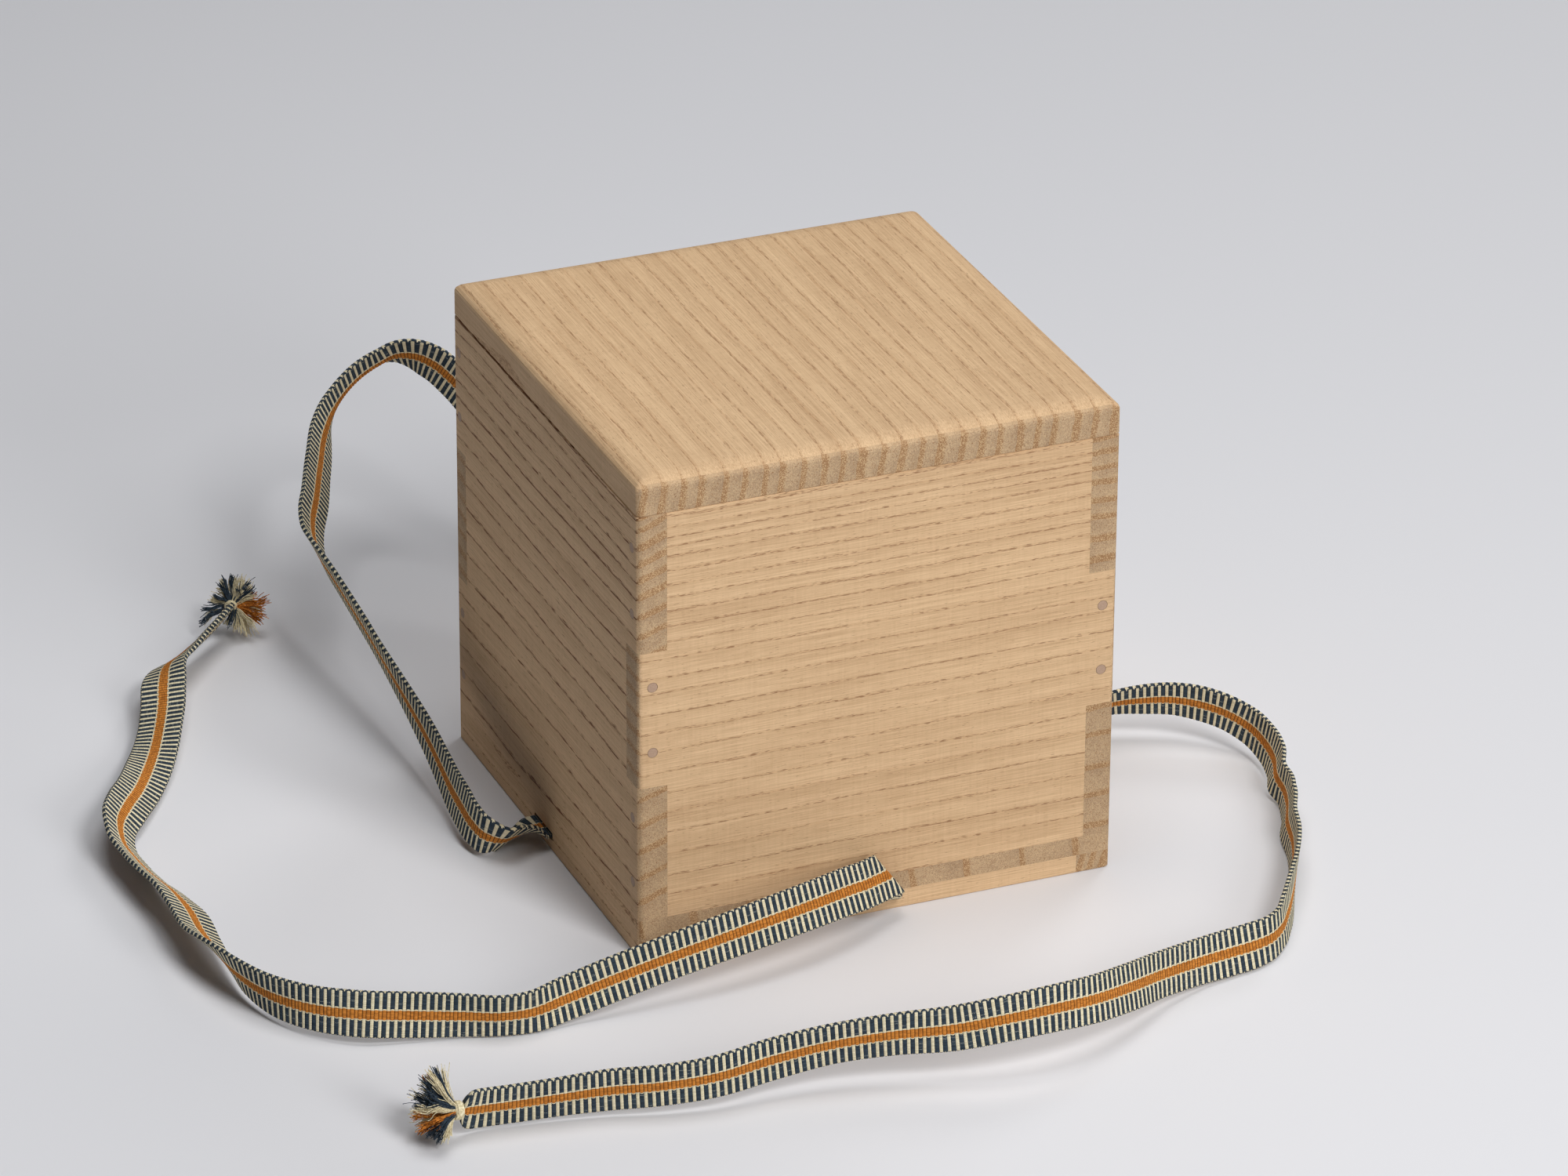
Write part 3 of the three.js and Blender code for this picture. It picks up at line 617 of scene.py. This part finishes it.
def weaveMaterial(name):
    sheet = Sheet(name)
    look = weaveLook
    around, picks, _ = sheet.split(sheet.node("ShaderNodeUVMap", {"uv_map": "weave"}))

    def clothNoise(start, scale, detail):
        return sheet.noise(sheet.join(start * scale[0], picks * scale[1], 0.0), detail)

    across = sheet.math("PINGPONG", around, 1.0)
    away = sheet.math("ABSOLUTE", across - 0.5) * 2
    wobble = clothNoise(around, look["wobbleScale"], detail=1.0) - 0.5
    strandPlace = across * look["warps"]
    strand = sheet.math("ABSOLUTE", sheet.math("SINE", strandPlace * math.pi))
    along = picks + wobble * look["wobble"]
    centred = sheet.math("FRACT", along) * 2 - 1
    crown = sheet.math("MAXIMUM", 1 - centred * centred, 0.0)
    pairPlace = sheet.math("FRACT", along * 0.5)
    beads = strand * look["bead"]
    started = sheet.smooth(pairPlace + beads, *look["lightStart"])
    isLight = started * (1 - sheet.smooth(pairPlace - beads, *look["lightEnd"]))
    crossing = sheet.join(sheet.math("FLOOR", strandPlace), sheet.math("FLOOR", along), 0.0)
    settings = {"noise_dimensions": "2D"}
    speck = sheet.node("ShaderNodeTexWhiteNoise", settings, {"Vector": crossing}, "Value")
    fibre = clothNoise(across, look["fibreScale"], detail=2.0)
    vary = speck * look["speckShare"] + fibre * look["fibreShare"] - look["varyBase"]
    fleck = sheet.smooth(speck, *look["fleckSpeck"]) * sheet.smooth(fibre, *look["fleckFibre"])
    navy = sheet.mix(fleck * look["fleckShare"], sheet.mix(vary, *look["navy"]), look["fleck"])
    cream = sheet.mix(vary + look["creamLift"], *look["cream"])
    furrow = lifted(sheet.smooth(crown, *look["furrow"]), look["furrowShade"])
    orange = sheet.shaded(sheet.mix(vary + look["orangeLift"], *look["orangeYarn"]), furrow)
    bars = sheet.mix(isLight, navy, cream)

    pastStripe = away - crown * (1 - isLight) * look["stripeWave"]
    colour = sheet.mix(sheet.smooth(pastStripe, *look["orange"]), orange, cream)
    colour = sheet.mix(sheet.smooth(pastStripe, *look["creamLine"]), colour, bars)

    # The selvedge is dark, with a cream tick in each pair on its faces and slanted rungs on its side
    tick = sheet.band(pairPlace, look["tickStart"], look["tickEnd"])
    slant = (around - sheet.math("ROUND", around)) * look["rungSlant"]
    rung = sheet.band(sheet.math("FRACT", along * 0.5 + slant), look["rungStart"], look["rungEnd"])
    faceMarks = sheet.mix(tick, navy, cream)
    sideMarks = sheet.mix(rung, navy, cream)
    border = sheet.mix(sheet.smooth(away, *look["side"]), faceMarks, sideMarks)
    pastRim = sheet.smooth(away - crown * isLight * look["selvedgeWave"], *look["selvedge"])
    colour = sheet.mix(pastRim, colour, border)

    groove = lifted(sheet.smooth(crown, *look["groove"]), look["grooveShade"])
    colour = sheet.shaded(colour, groove * lifted(strand, look["warpShade"]))
    height = strand * look["warpHeight"] + fibre * look["fibreHeight"]
    return sheet.finish({
        "Base Color": colour,
        "Roughness": 0.88,
        "Specular IOR Level": 0.2,
        "Normal": sheet.bump(height, distance=0.00012, strength=0.7),
    })


tapeCloth = weaveMaterial("wovenTape")
tapeRuns = {
    "frontTape": (frontRoute, "cord_front_stretch"),
    "rightTape": (rightRoute, "cord_right_stretch"),
    "loopTape": (loopRoute, "cord_standing_loop"),
    "heldTapeFrontBack": (frontBackRun, "cord_under_front_back"),
    "heldTapeLeftRight": (leftRightRun, "cord_under_left_right"),
}
tapePaths = {}
for name, (rows, node) in tapeRuns.items():
    piece, tapePaths[name] = weaveRibbon(name, rows, frontRoll if name == "frontTape" else None)
    piece.data.materials.append(tapeCloth)
    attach(piece, "case")
    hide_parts(node)
print("tapes woven")

# Ties: thread wound round the gathered end of each tape

tie = {
    "threadRadius": 0.00036,
    "threadSides": 8,
    "turns": 4.0,
    "length": 0.0024,
    "gap": 0.0003,
    "steps": 30,
    "coreSides": 20,
    "coreWide": 0.96,  # radius of the core as a share of the winding's
    "coreLong": 0.98,
    "tasselStart": 0.7,  # where the tassel starts, as a share of the tie's length
}
# lift: how far the tassel looks up; core: radius of the winding's middle line
tassels = {
    "front": {"rows": frontRoute, "lift": 0.06, "core": 0.0016, "seed": 5},
    "right": {"rows": rightRoute, "lift": 0.18, "core": 0.0024, "seed": 11},
}


def tapeEnd(rows, lift):
    last, before = Vector(rows[-1][:3]), Vector(rows[-2][:3])
    along = (last - before).normalized()
    along.z = lift
    axis = along.normalized()
    return last + axis * tie["gap"], axis


def axisTurn(start, axis):
    return Matrix.Translation(start) @ axis.to_track_quat("Z", "Y").to_matrix().to_4x4()


# mottle: where its tone turns; the scales are in turns to a millimetre
threadLook = {"mottle": (0.3, 0.7), "mottleScale": 1.6, "fibreScale": 6.4}


def threadMaterial(name, colours):
    sheet = Sheet(name)
    place = sheet.millimetres()
    mottle = sheet.noise(sheet.scaled(place, threadLook["mottleScale"]), detail=3.0)
    fibre = sheet.noise(sheet.scaled(place, threadLook["fibreScale"]), detail=2.0)
    colour = sheet.mix(sheet.smooth(mottle, *threadLook["mottle"]), *colours)
    return sheet.finish({
        "Base Color": colour,
        "Roughness": 0.9,
        "Specular IOR Level": 0.2,
        "Normal": sheet.bump(fibre, distance=0.0001, strength=0.8),
    })


creamThread = threadMaterial("creamThread", weaveLook["cream"])
navyThread = threadMaterial("navyThread", weaveLook["navy"])
orangeThread = threadMaterial("orangeThread", weaveLook["orangeYarn"])


def windTie(name, start, axis, ring):
    shape = bmesh.new()
    radius = tie["threadRadius"]
    turned = Matrix.Translation((ring, 0, radius)) @ Matrix.Rotation(math.pi / 2, 4, "X")
    section = bmesh.ops.create_circle(shape, segments=tie["threadSides"], radius=radius, matrix=turned)
    rise = tie["length"] - radius * 2
    steps = round(tie["steps"] * tie["turns"])
    bmesh.ops.spin(
        shape,
        geom=section["verts"] + list({edge for vert in section["verts"] for edge in vert.link_edges}),
        cent=(0, 0, 0),
        axis=(0, 0, 1),
        dvec=(0, 0, rise / steps),
        angle=math.tau * tie["turns"],
        steps=steps,
    )
    rims = [edge for edge in shape.edges if edge.is_boundary]
    bmesh.ops.holes_fill(shape, edges=rims, sides=0)
    coreRadius = ring * tie["coreWide"]
    bmesh.ops.create_cone(
        shape, cap_ends=True, segments=tie["coreSides"], radius1=coreRadius, radius2=coreRadius,
        depth=tie["length"] * tie["coreLong"], matrix=Matrix.Translation((0, 0, tie["length"] / 2)),
    )
    bmesh.ops.recalc_face_normals(shape, faces=shape.faces[:])
    bmesh.ops.transform(shape, matrix=axisTurn(start, axis), verts=shape.verts[:])
    return addObject(name, meshFrom(name, shape))


# Tassels: bundles of cut yarn, each a fan of strands that wave and end loosely

yarn = {
    "radius": 0.00016,
    "thickness": (0.85, 1.15),  # how much one strand differs from the next
    "taper": 0.35,
    "strands": 22,
    "points": 9,
    "lengths": (0.86, 1.02),
    "bend": 0.0016,
    "wave": 0.00042,
    "waveLength": 0.0062,
    "tuftWaves": (0.6, 1.6),
    "strandWaves": (0.7, 1.3),
    "stray": 0.05,
    "fuzzShare": 0.12,  # how many strands stray further, and how much
    "fuzzStray": 3,
    "spread": 0.25,  # how far the strands of a tuft lie apart, as a share of its width
    "rootSpread": 0.45,
    "opens": 1.1,  # how early a tuft is at its widest
    "root": 0.45,  # how far from the axis a tuft starts, as a share of the tie's core
    "floor": 0.0005,
}
# Tufts as the camera sees them: angle in degrees from the right, how far the tuft leans to the
# camera, length and width in millimetres
tufts = {
    "front": {
        "navy": (
            (93, 0.0, 8.4, 1.5), (111, 0.1, 7.8, 1.3), (126, 0.3, 7.0, 1.4), (158, 0.3, 6.4, 1.2),
            (178, -0.5, 7.6, 1.2), (195, 0.1, 9.4, 1.1), (210, 0.2, 12.0, 1.0), (56, 0.1, 7.4, 1.6),
            (34, 0.2, 7.6, 1.8), (-99, 1.3, 9.0, 2.4), (-130, 0.3, 6.6, 1.2), (70, 0.9, 6.0, 1.4),
        ),
        "cream": (
            (101, -0.4, 7.6, 1.3), (119, -0.3, 7.6, 1.3), (140, -0.2, 6.4, 1.3), (170, 0.0, 6.8, 1.2),
            (203, -0.2, 9.8, 1.0), (80, 0.2, 7.6, 1.5), (67, -0.2, 8.4, 1.6), (44, -0.3, 7.8, 1.5),
            (18, 0.4, 6.6, 1.8), (-13, -0.3, 8.6, 1.4), (-48, 0.4, 10.4, 1.8), (-60, 0.1, 10.6, 1.6),
            (-72, 0.5, 9.6, 1.8), (-84, 0.2, 8.0, 1.4), (-112, 0.2, 6.6, 1.2), (50, 0.9, 6.0, 1.4),
        ),
        "orange": (
            (25, -0.4, 7.2, 1.5), (4, 0.1, 9.9, 1.9), (-4, 0.3, 9.2, 1.7), (-27, 0.2, 10.0, 2.0),
            (-38, 0.0, 9.8, 1.6),
        ),
    },
    "right": {
        "navy": (
            (111, 0.2, 11.8, 1.5), (127, -0.3, 11.6, 1.4), (138, 0.1, 11.0, 2.0), (150, 0.6, 10.6, 2.0),
            (165, 0.2, 11.0, 1.9), (173, -0.4, 11.2, 1.6), (143, 1.1, 9.6, 2.0), (161, 1.1, 9.0, 1.6),
            (221, 0.3, 9.4, 2.0), (230, -0.2, 9.0, 1.9), (239, 0.5, 9.0, 2.0), (248, 0.1, 8.4, 1.7),
            (234, 1.2, 8.6, 1.9), (150, -1.0, 9.6, 1.6), (216, -1.0, 8.6, 1.6),
        ),
        "cream": (
            (104, -0.2, 11.4, 1.5), (119, 0.3, 12.2, 1.8), (147, -0.3, 11.2, 1.6), (157, 0.1, 11.0, 1.4),
            (177, 0.7, 10.6, 1.9), (183, 0.1, 10.6, 1.6), (197, -0.3, 10.0, 1.5), (171, 1.3, 9.4, 1.9),
            (118, 0.9, 10.4, 1.7), (256, 0.4, 7.8, 1.3), (264, 0.2, 6.6, 1.1), (120, -1.0, 10.0, 1.6),
            (181, -1.1, 9.4, 1.6),
        ),
        "orange": (
            (131, -0.5, 12.4, 1.6), (190, 0.3, 10.4, 2.1), (203, 0.5, 10.2, 2.1), (211, 0.0, 9.6, 1.5),
            (204, 1.2, 8.8, 1.9),
        ),
    },
}
# How far the camera is turned to the right and looks down
viewerTurn, viewerTilt = math.radians(22.5), math.radians(26.6)


def viewerAxes():
    toward = Vector((math.sin(viewerTurn), math.cos(viewerTurn), 0))
    sideways = Vector((toward.y, -toward.x, 0))
    upright = Vector((0, 0, math.cos(viewerTilt))) + toward * math.sin(viewerTilt)
    near = Vector((0, 0, math.sin(viewerTilt))) - toward * math.cos(viewerTilt)
    return sideways, upright, near


def looseVector(dice):
    return Vector((dice.gauss(0, 1), dice.gauss(0, 1), dice.gauss(0, 1)))


def tuftStrand(curve, dice, bundle, slot):
    start, axis, way, length, width, wave, phase = bundle
    spread = looseVector(dice)
    stray = looseVector(dice) * yarn["stray"]
    if dice.random() < yarn["fuzzShare"]:
        stray *= yarn["fuzzStray"]
    reach = length * dice.uniform(*yarn["lengths"])
    ownWave = dice.uniform(*yarn["strandWaves"])
    spline = curve.splines.new("POLY")
    spline.points.add(yarn["points"] - 1)
    spline.material_index = slot
    for index, spot in enumerate(spline.points):
        t = index / (yarn["points"] - 1)
        leave = axis * (yarn["bend"] * (1 - (1 - t) ** 3))
        swing = math.sin(phase + math.tau * reach * t / yarn["waveLength"]) - math.sin(phase)
        place = start + leave + (way + stray * t) * (reach * t) + wave * (swing * t * ownWave)
        opened = lifted(math.sin(math.pi / 2 * min(t * yarn["opens"], 1.0)), yarn["rootSpread"])
        place += spread * (width * yarn["spread"] * opened)
        place.z = max(place.z, yarn["floor"])
        spot.co = (*place, 1.0)
        spot.radius = dice.uniform(*yarn["thickness"]) * (1.0 - yarn["taper"] * t)


def frayYarn(name, start, axis, side, look):
    dice = random.Random(look["seed"])
    sideways, upright, near = viewerAxes()
    curve = bpy.data.curves.new(name, "CURVE")
    curve.dimensions = "3D"
    curve.bevel_depth = yarn["radius"]
    curve.bevel_resolution = 0
    curve.use_fill_caps = True
    threads = {"navy": navyThread, "cream": creamThread, "orange": orangeThread}
    for slot, (kind, thread) in enumerate(threads.items()):
        curve.materials.append(thread)
        for angle, lean, length, width in tufts[side][kind]:
            turn = math.radians(angle)
            way = (sideways * math.cos(turn) + upright * math.sin(turn) + near * lean).normalized()
            out = (way - axis * way.dot(axis)).normalized()
            root = start + out * (look["core"] * yarn["root"])
            wave = axis.cross(way).normalized() * (yarn["wave"] * dice.uniform(*yarn["tuftWaves"]))
            phase = dice.uniform(0, math.tau)
            bundle = (root, axis, way, length / 1000, width / 1000, wave, phase)
            for _ in range(yarn["strands"]):
                tuftStrand(curve, dice, bundle, slot)
    loose = bpy.data.objects.new(name + "Line", curve)
    scene.collection.objects.link(loose)
    bpy.context.view_layer.update()
    solid = bpy.data.meshes.new_from_object(loose.evaluated_get(bpy.context.evaluated_depsgraph_get()))
    bpy.data.objects.remove(loose)
    solid.name = name
    solid.shade_smooth()
    return addObject(name, solid)


for side, look in tassels.items():
    start, axis = tapeEnd(look["rows"], look["lift"])
    band = windTie(side + "Tie", start, axis, look["core"])
    band.data.materials.append(creamThread)
    tasselStart = start + axis * (tie["length"] * tie["tasselStart"])
    brush = frayYarn(side + "Tassel", tasselStart, axis, side, look)
    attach(band, "case")
    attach(brush, "case")
    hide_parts("tie_" + side)
    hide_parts("tassel_" + side)

print("ties and tassels made")

# Wood: paulownia with its rings cut as each board is sawn, pores in the early wood

kiri = {
    "light": tint(228, 194, 152),
    "dark": tint(184, 147, 108),
    "pore": tint(124, 80, 45),
    "poreGlow": tint(186, 138, 92),
    "endLight": tint(205, 175, 137),
    "endDark": tint(158, 131, 102),
    "endBand": tint(216, 178, 126),
    "endPore": tint(138, 92, 52),
    # How far the rings tremble and how unevenly they stand, in millimetres
    "shiver": 0.8,
    "uneven": 4.0,
    "unevenScale": 0.11,
    "crowdReach": 35.0,  # how deep the narrow outer rings go, in millimetres
    "seedStep": 37.0,
    "endFacing": (0.45, 0.8),  # how straight along the grain a face must look to be end grain
    "late": (0.25, 1.0),  # where a ring darkens, as a share of it
    # Pores: where their row thins out, in millimetres from the start of the ring, how much wider
    # it is on end grain, and what makes them crowd
    "poreLine": (0.15, 1.25),
    "endWider": 1.3,
    "poreWide": 4.2,  # pores to a millimetre across the grain
    "poreEdge": (0.66, 0.76),
    "clumpScale": (0.07, 7.3),
    "clumpShare": 0.26,
    "ringShare": 0.09,
    "endShare": 0.08,
    "leastShare": 0.02,
    "holeEdge": (0.6, 0.66),  # holes show on end grain alone
    "holeRow": 0.17,
    # Tone of the long faces and of the ends: what each pattern adds, and where it starts
    "tones": {"fibre": 1.4, "thread": 0.9, "cloud": 0.6, "rays": 0.25},
    "toneBase": 0.33,
    "endTones": {"mottle": 2.4, "cloud": 0.8},
    "endLate": 0.2,
    "endBase": 0.36,
    "ringLeast": 0.5,
    "glowLeast": 0.2,
    "bandShare": 0.4,
    "holeShare": 0.72,
    "rough": 0.62,
    "fibreRough": 0.16,
    "fibreHeight": 0.5,
    "poreDepth": 0.8,
    "earlyDepth": 0.1,
}
# Patterns: turns to a millimetre along the grain and across it, detail and roughness
grainPatterns = {
    "sway": (0.012, 0.02, 2.0, 0.5),
    "shiver": (0.07, 0.3, 2.0, 0.5),
    "holes": (0.3, 4.0, 1.0, 0.5),
    "fibre": (0.03, 2.4, 3.0, 0.64),
    "thread": (0.1, 5.0, 1.0, 0.5),
    "cloud": (0.012, 0.13, 2.0, 0.5),
    "rays": (1.4, 0.1, 1.0, 0.5),
    "mottle": (0.05, 2.4, 3.0, 0.7),
}
# grain: the way the fibres run; lean: which way the rings face in the cut, degrees from the side axis;
# start: where the first ring lies, ring: its width, crowd: how many more rings the narrow zone holds,
# grows: which way the tree grew, bend: how far the rings curve, wave: how far they wander,
# pores: how many show, stroke: pores to a millimetre along the grain, ringTone: how dark a ring ends,
# glow: how brown the wood is round its pores, poreShade: how dark the pores are
plainBoard = {
    "grain": "y", "lean": 10, "start": -120, "ring": 5.0, "crowd": 0.0, "grows": 1, "bend": 0.0,
    "wave": 3.0, "pores": 0.9, "stroke": 0.42, "ringTone": 0.16, "glow": 0.3, "poreShade": 0.85,
}
frontCut = {"grain": "x", "lean": -82, "start": -142, "ring": 7.4, "crowd": 5.5, "grows": -1, "bend": 0.0006}
sideCut = {"start": -150, "ring": 8.6, "crowd": 3.4, "grows": -1, "bend": 0.0006, "wave": 4.0}
footCut = {"grain": "x", "start": -90, "grows": -1, "pores": 0.6}
boards = {
    "front_board": {**frontCut, "pores": 0.98, "poreShade": 0.62, "seed": 1.0},
    "back_board": {
        **frontCut, "lean": -97, "ring": 7.0, "crowd": 2.0, "bend": 0.002, "wave": 6.0, "seed": 2.0,
    },
    "left_board": {
        **sideCut, "lean": -68, "pores": 1.4, "stroke": 0.22, "glow": 0.2, "poreShade": 1.0, "seed": 3.0,
    },
    "right_board": {**sideCut, "lean": -93, "start": -142, "ring": 10.0, "crowd": 4.5, "seed": 4.0},
    "base_board": {"lean": 8, "start": -90, "ring": 17.0, "wave": 4.0, "seed": 5.0},
    "foot_left": {"lean": 70, "start": -90, "ring": 4.0, "seed": 6.0},
    "foot_right": {"lean": -15, "start": -90, "ring": 3.6, "seed": 7.0},
    "foot_front": {**footCut, "lean": -60, "ring": 9.0, "seed": 8.0},
    "foot_back": {**footCut, "lean": -75, "ring": 7.0, "seed": 9.0},
    "lid_panel": {
        "lean": -9, "ring": 6.0, "wave": 5.0, "pores": 0.85, "ringTone": 0.1, "glow": 0.42,
        "poreShade": 0.5, "seed": 10.0,
    },
    "lid_batten_front": {"grain": "x", "lean": 40, "seed": 11.0},
    "lid_batten_back": {"grain": "x", "lean": 20, "seed": 12.0},
    "lid_batten_left": {"lean": 60, "seed": 13.0},
    "lid_batten_right": {"lean": 10, "seed": 14.0},
}


# The object's place in millimetres: along the grain, to the side, and up
def grainAxes(sheet, grain):
    x, y, z = sheet.split(sheet.millimetres())
    return (x, y, z) if grain == "x" else (y, x, z)


def grainNoise(sheet, axes, scales, seed=0.0):
    alongGrain, side, up = axes
    along, across, detail, rough = scales
    place = sheet.join(alongGrain * along + seed, side * across, up * across)
    return sheet.noise(place, detail, rough)


def kiriMaterial(name, look):
    sheet = Sheet(name)
    axes = grainAxes(sheet, look["grain"])
    alongGrain, side, up = axes
    seed = look["seed"] * kiri["seedStep"]
    patterns = {kind: grainNoise(sheet, axes, scales, seed) for kind, scales in grainPatterns.items()}

    def toned(tone, shares):
        for kind, share in shares.items():
            tone = tone + (patterns[kind] - 0.5) * share
        return tone

    lean = math.radians(look["lean"])
    deep = side * math.cos(lean) + up * math.sin(lean) - look["start"]
    level = up * math.cos(lean) - side * math.sin(lean)
    depth = deep + level * level * look["bend"]
    depth = toned(depth, {"sway": look["wave"], "shiver": kiri["shiver"]})
    uneven = sheet.noise(sheet.join(seed, deep * kiri["unevenScale"], 0.0), detail=1.0) - 0.5
    depth = depth + uneven * kiri["uneven"]

    # Rings stand closer together in the outer part of the tree
    reach = kiri["crowdReach"]
    near = sheet.math("POWER", math.e, depth * (-1 / reach))
    rings = (depth * (1 / look["ring"]) + (1 - near) * look["crowd"]) * look["grows"]
    spacing = 1 / (near * (look["crowd"] / reach) + 1 / look["ring"])
    ring = sheet.math("FRACT", rings)
    ringNumber = sheet.math("FLOOR", rings)
    settings = {"noise_dimensions": "1D"}
    ringVary = sheet.node("ShaderNodeTexWhiteNoise", settings, {"W": ringNumber + seed}, "Value")

    normal = sheet.node("ShaderNodeNewGeometry", None, None, "Normal")
    frames = {"vector_type": "NORMAL", "convert_from": "WORLD", "convert_to": "OBJECT"}
    faceX, faceY, _ = sheet.split(sheet.node("ShaderNodeVectorTransform", frames, {0: normal}))
    endFacing = sheet.math("ABSOLUTE", faceX if look["grain"] == "x" else faceY)
    endGrain = sheet.smooth(endFacing, *kiri["endFacing"])

    early = 1 - sheet.smooth(ring * spacing - endGrain * kiri["endWider"], *kiri["poreLine"])
    late = sheet.smooth(ring, *kiri["late"])
    along, apart = kiri["clumpScale"]
    clump = sheet.noise(sheet.join(alongGrain * along, ringNumber * apart + seed, 0.0), detail=2.0)
    crowd = clump * kiri["clumpShare"] + ringVary * kiri["ringShare"] + endGrain * kiri["endShare"]
    crowded = early * (crowd + kiri["leastShare"]) * look["pores"]
    stroke = grainNoise(sheet, axes, (look["stroke"], kiri["poreWide"], 1.0, 0.5), seed)
    pore = sheet.smooth(stroke + crowded, *kiri["poreEdge"])
    hole = sheet.smooth(patterns["holes"] + early * kiri["holeRow"], *kiri["holeEdge"])

    tone = toned(late * (ringVary + kiri["ringLeast"]) * look["ringTone"], kiri["tones"])
    long = sheet.mix(tone + kiri["toneBase"], kiri["light"], kiri["dark"])
    long = sheet.mix(early * (clump + kiri["glowLeast"]) * look["glow"], long, kiri["poreGlow"])
    long = sheet.mix(pore * look["poreShade"], long, kiri["pore"])
    endTone = toned(late * kiri["endLate"], kiri["endTones"])
    end = sheet.mix(endTone + kiri["endBase"], kiri["endLight"], kiri["endDark"])
    end = sheet.mix(early * kiri["bandShare"], end, kiri["endBand"])
    end = sheet.mix(hole * kiri["holeShare"], end, kiri["endPore"])
    height = patterns["fibre"] * kiri["fibreHeight"] - pore * kiri["poreDepth"] - early * kiri["earlyDepth"]
    return sheet.finish({
        "Base Color": sheet.mix(endGrain, long, end),
        "Roughness": kiri["rough"] + patterns["fibre"] * kiri["fibreRough"],
        "Specular IOR Level": 0.3,
        "Normal": sheet.bump(height, distance=0.00012, strength=0.5),
    })


for node, look in boards.items():
    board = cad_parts[node]
    board.data.materials.clear()
    board.data.materials.append(kiriMaterial(node + "Kiri", {**plainBoard, **look}))
print("boards done")

pegLook = {
    "wood": (tint(164, 136, 116), tint(194, 164, 140)),
    "dot": tint(134, 104, 82),
    "dotEdge": (0.62, 0.72),
    "dotShare": 0.5,
    "fibre": (0.2, 3.0, 3.0, 0.5),
    "dots": (0.5, 6.0, 1.0, 0.5),
}


def pegMaterial(name, grain):
    sheet = Sheet(name)
    axes = grainAxes(sheet, grain)
    fibre = grainNoise(sheet, axes, pegLook["fibre"])
    dots = grainNoise(sheet, axes, pegLook["dots"])
    colour = sheet.mix(fibre, *pegLook["wood"])
    colour = sheet.mix(sheet.smooth(dots, *pegLook["dotEdge"]) * pegLook["dotShare"], colour, pegLook["dot"])
    return sheet.finish({
        "Base Color": colour,
        "Roughness": 0.6,
        "Specular IOR Level": 0.3,
        "Normal": sheet.bump(fibre, distance=0.00008, strength=0.5),
    })


pegWood = {"x": pegMaterial("pegWoodX", "x"), "y": pegMaterial("pegWoodY", "y")}
for node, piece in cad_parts.items():
    if node.startswith("peg_"):
        piece.data.materials.clear()
        sideways = "_left_" in node or "_right_" in node
        piece.data.materials.append(pegWood["x" if sideways else "y"])
print("pegs done")

# Floor and light

studio = {
    "floorSize": 3.0,
    "floor": tint(230, 230, 233),
    "lampAim": (0.0, 0.0, 0.07),
    "ambient": 0.05,
    "ambientTint": (0.86, 0.94, 1.12, 1.0),
    "lamps": (
        {"name": "overhead", "place": (0.0, 0.0, 1.6), "size": 0.9, "power": 8.9},
        {"name": "lowFront", "place": (0.5, -1.9, 0.9), "size": 0.7, "power": 13.1},
        {"name": "highFront", "place": (0.3, -1.5, 1.6), "size": 0.7, "power": 20.7},
        {"name": "backRight", "place": (1.2, 1.0, 1.2), "size": 0.7, "power": 5.9},
    ),
}


def layFloor():
    shape = bmesh.new()
    bmesh.ops.create_grid(shape, x_segments=1, y_segments=1, size=studio["floorSize"])
    floor = addObject("floor", meshFrom("floor", shape))
    sheet = Sheet("paleFloor")
    paint = {"Base Color": studio["floor"], "Roughness": 0.85, "Specular IOR Level": 0.1}
    floor.data.materials.append(sheet.finish(paint))


def hangLamp(look):
    data = bpy.data.lights.new(look["name"], "AREA")
    data.shape = "DISK"
    data.size = look["size"]
    data.energy = look["power"]
    lamp = bpy.data.objects.new(look["name"], data)
    scene.collection.objects.link(lamp)
    lamp.location = look["place"]
    lamp.rotation_mode = "QUATERNION"
    away = Vector(look["place"]) - Vector(studio["lampAim"])
    lamp.rotation_quaternion = away.to_track_quat("Z", "Y")


layFloor()
for look in studio["lamps"]:
    hangLamp(look)
world = bpy.data.worlds.new("studio")
scene.world = world
world.use_nodes = True
backdrop = world.node_tree.nodes["Background"]
backdrop.inputs["Color"].default_value = studio["ambientTint"]
backdrop.inputs["Strength"].default_value = studio["ambient"]
scene.view_settings.view_transform = "Standard"
print("studio lit")
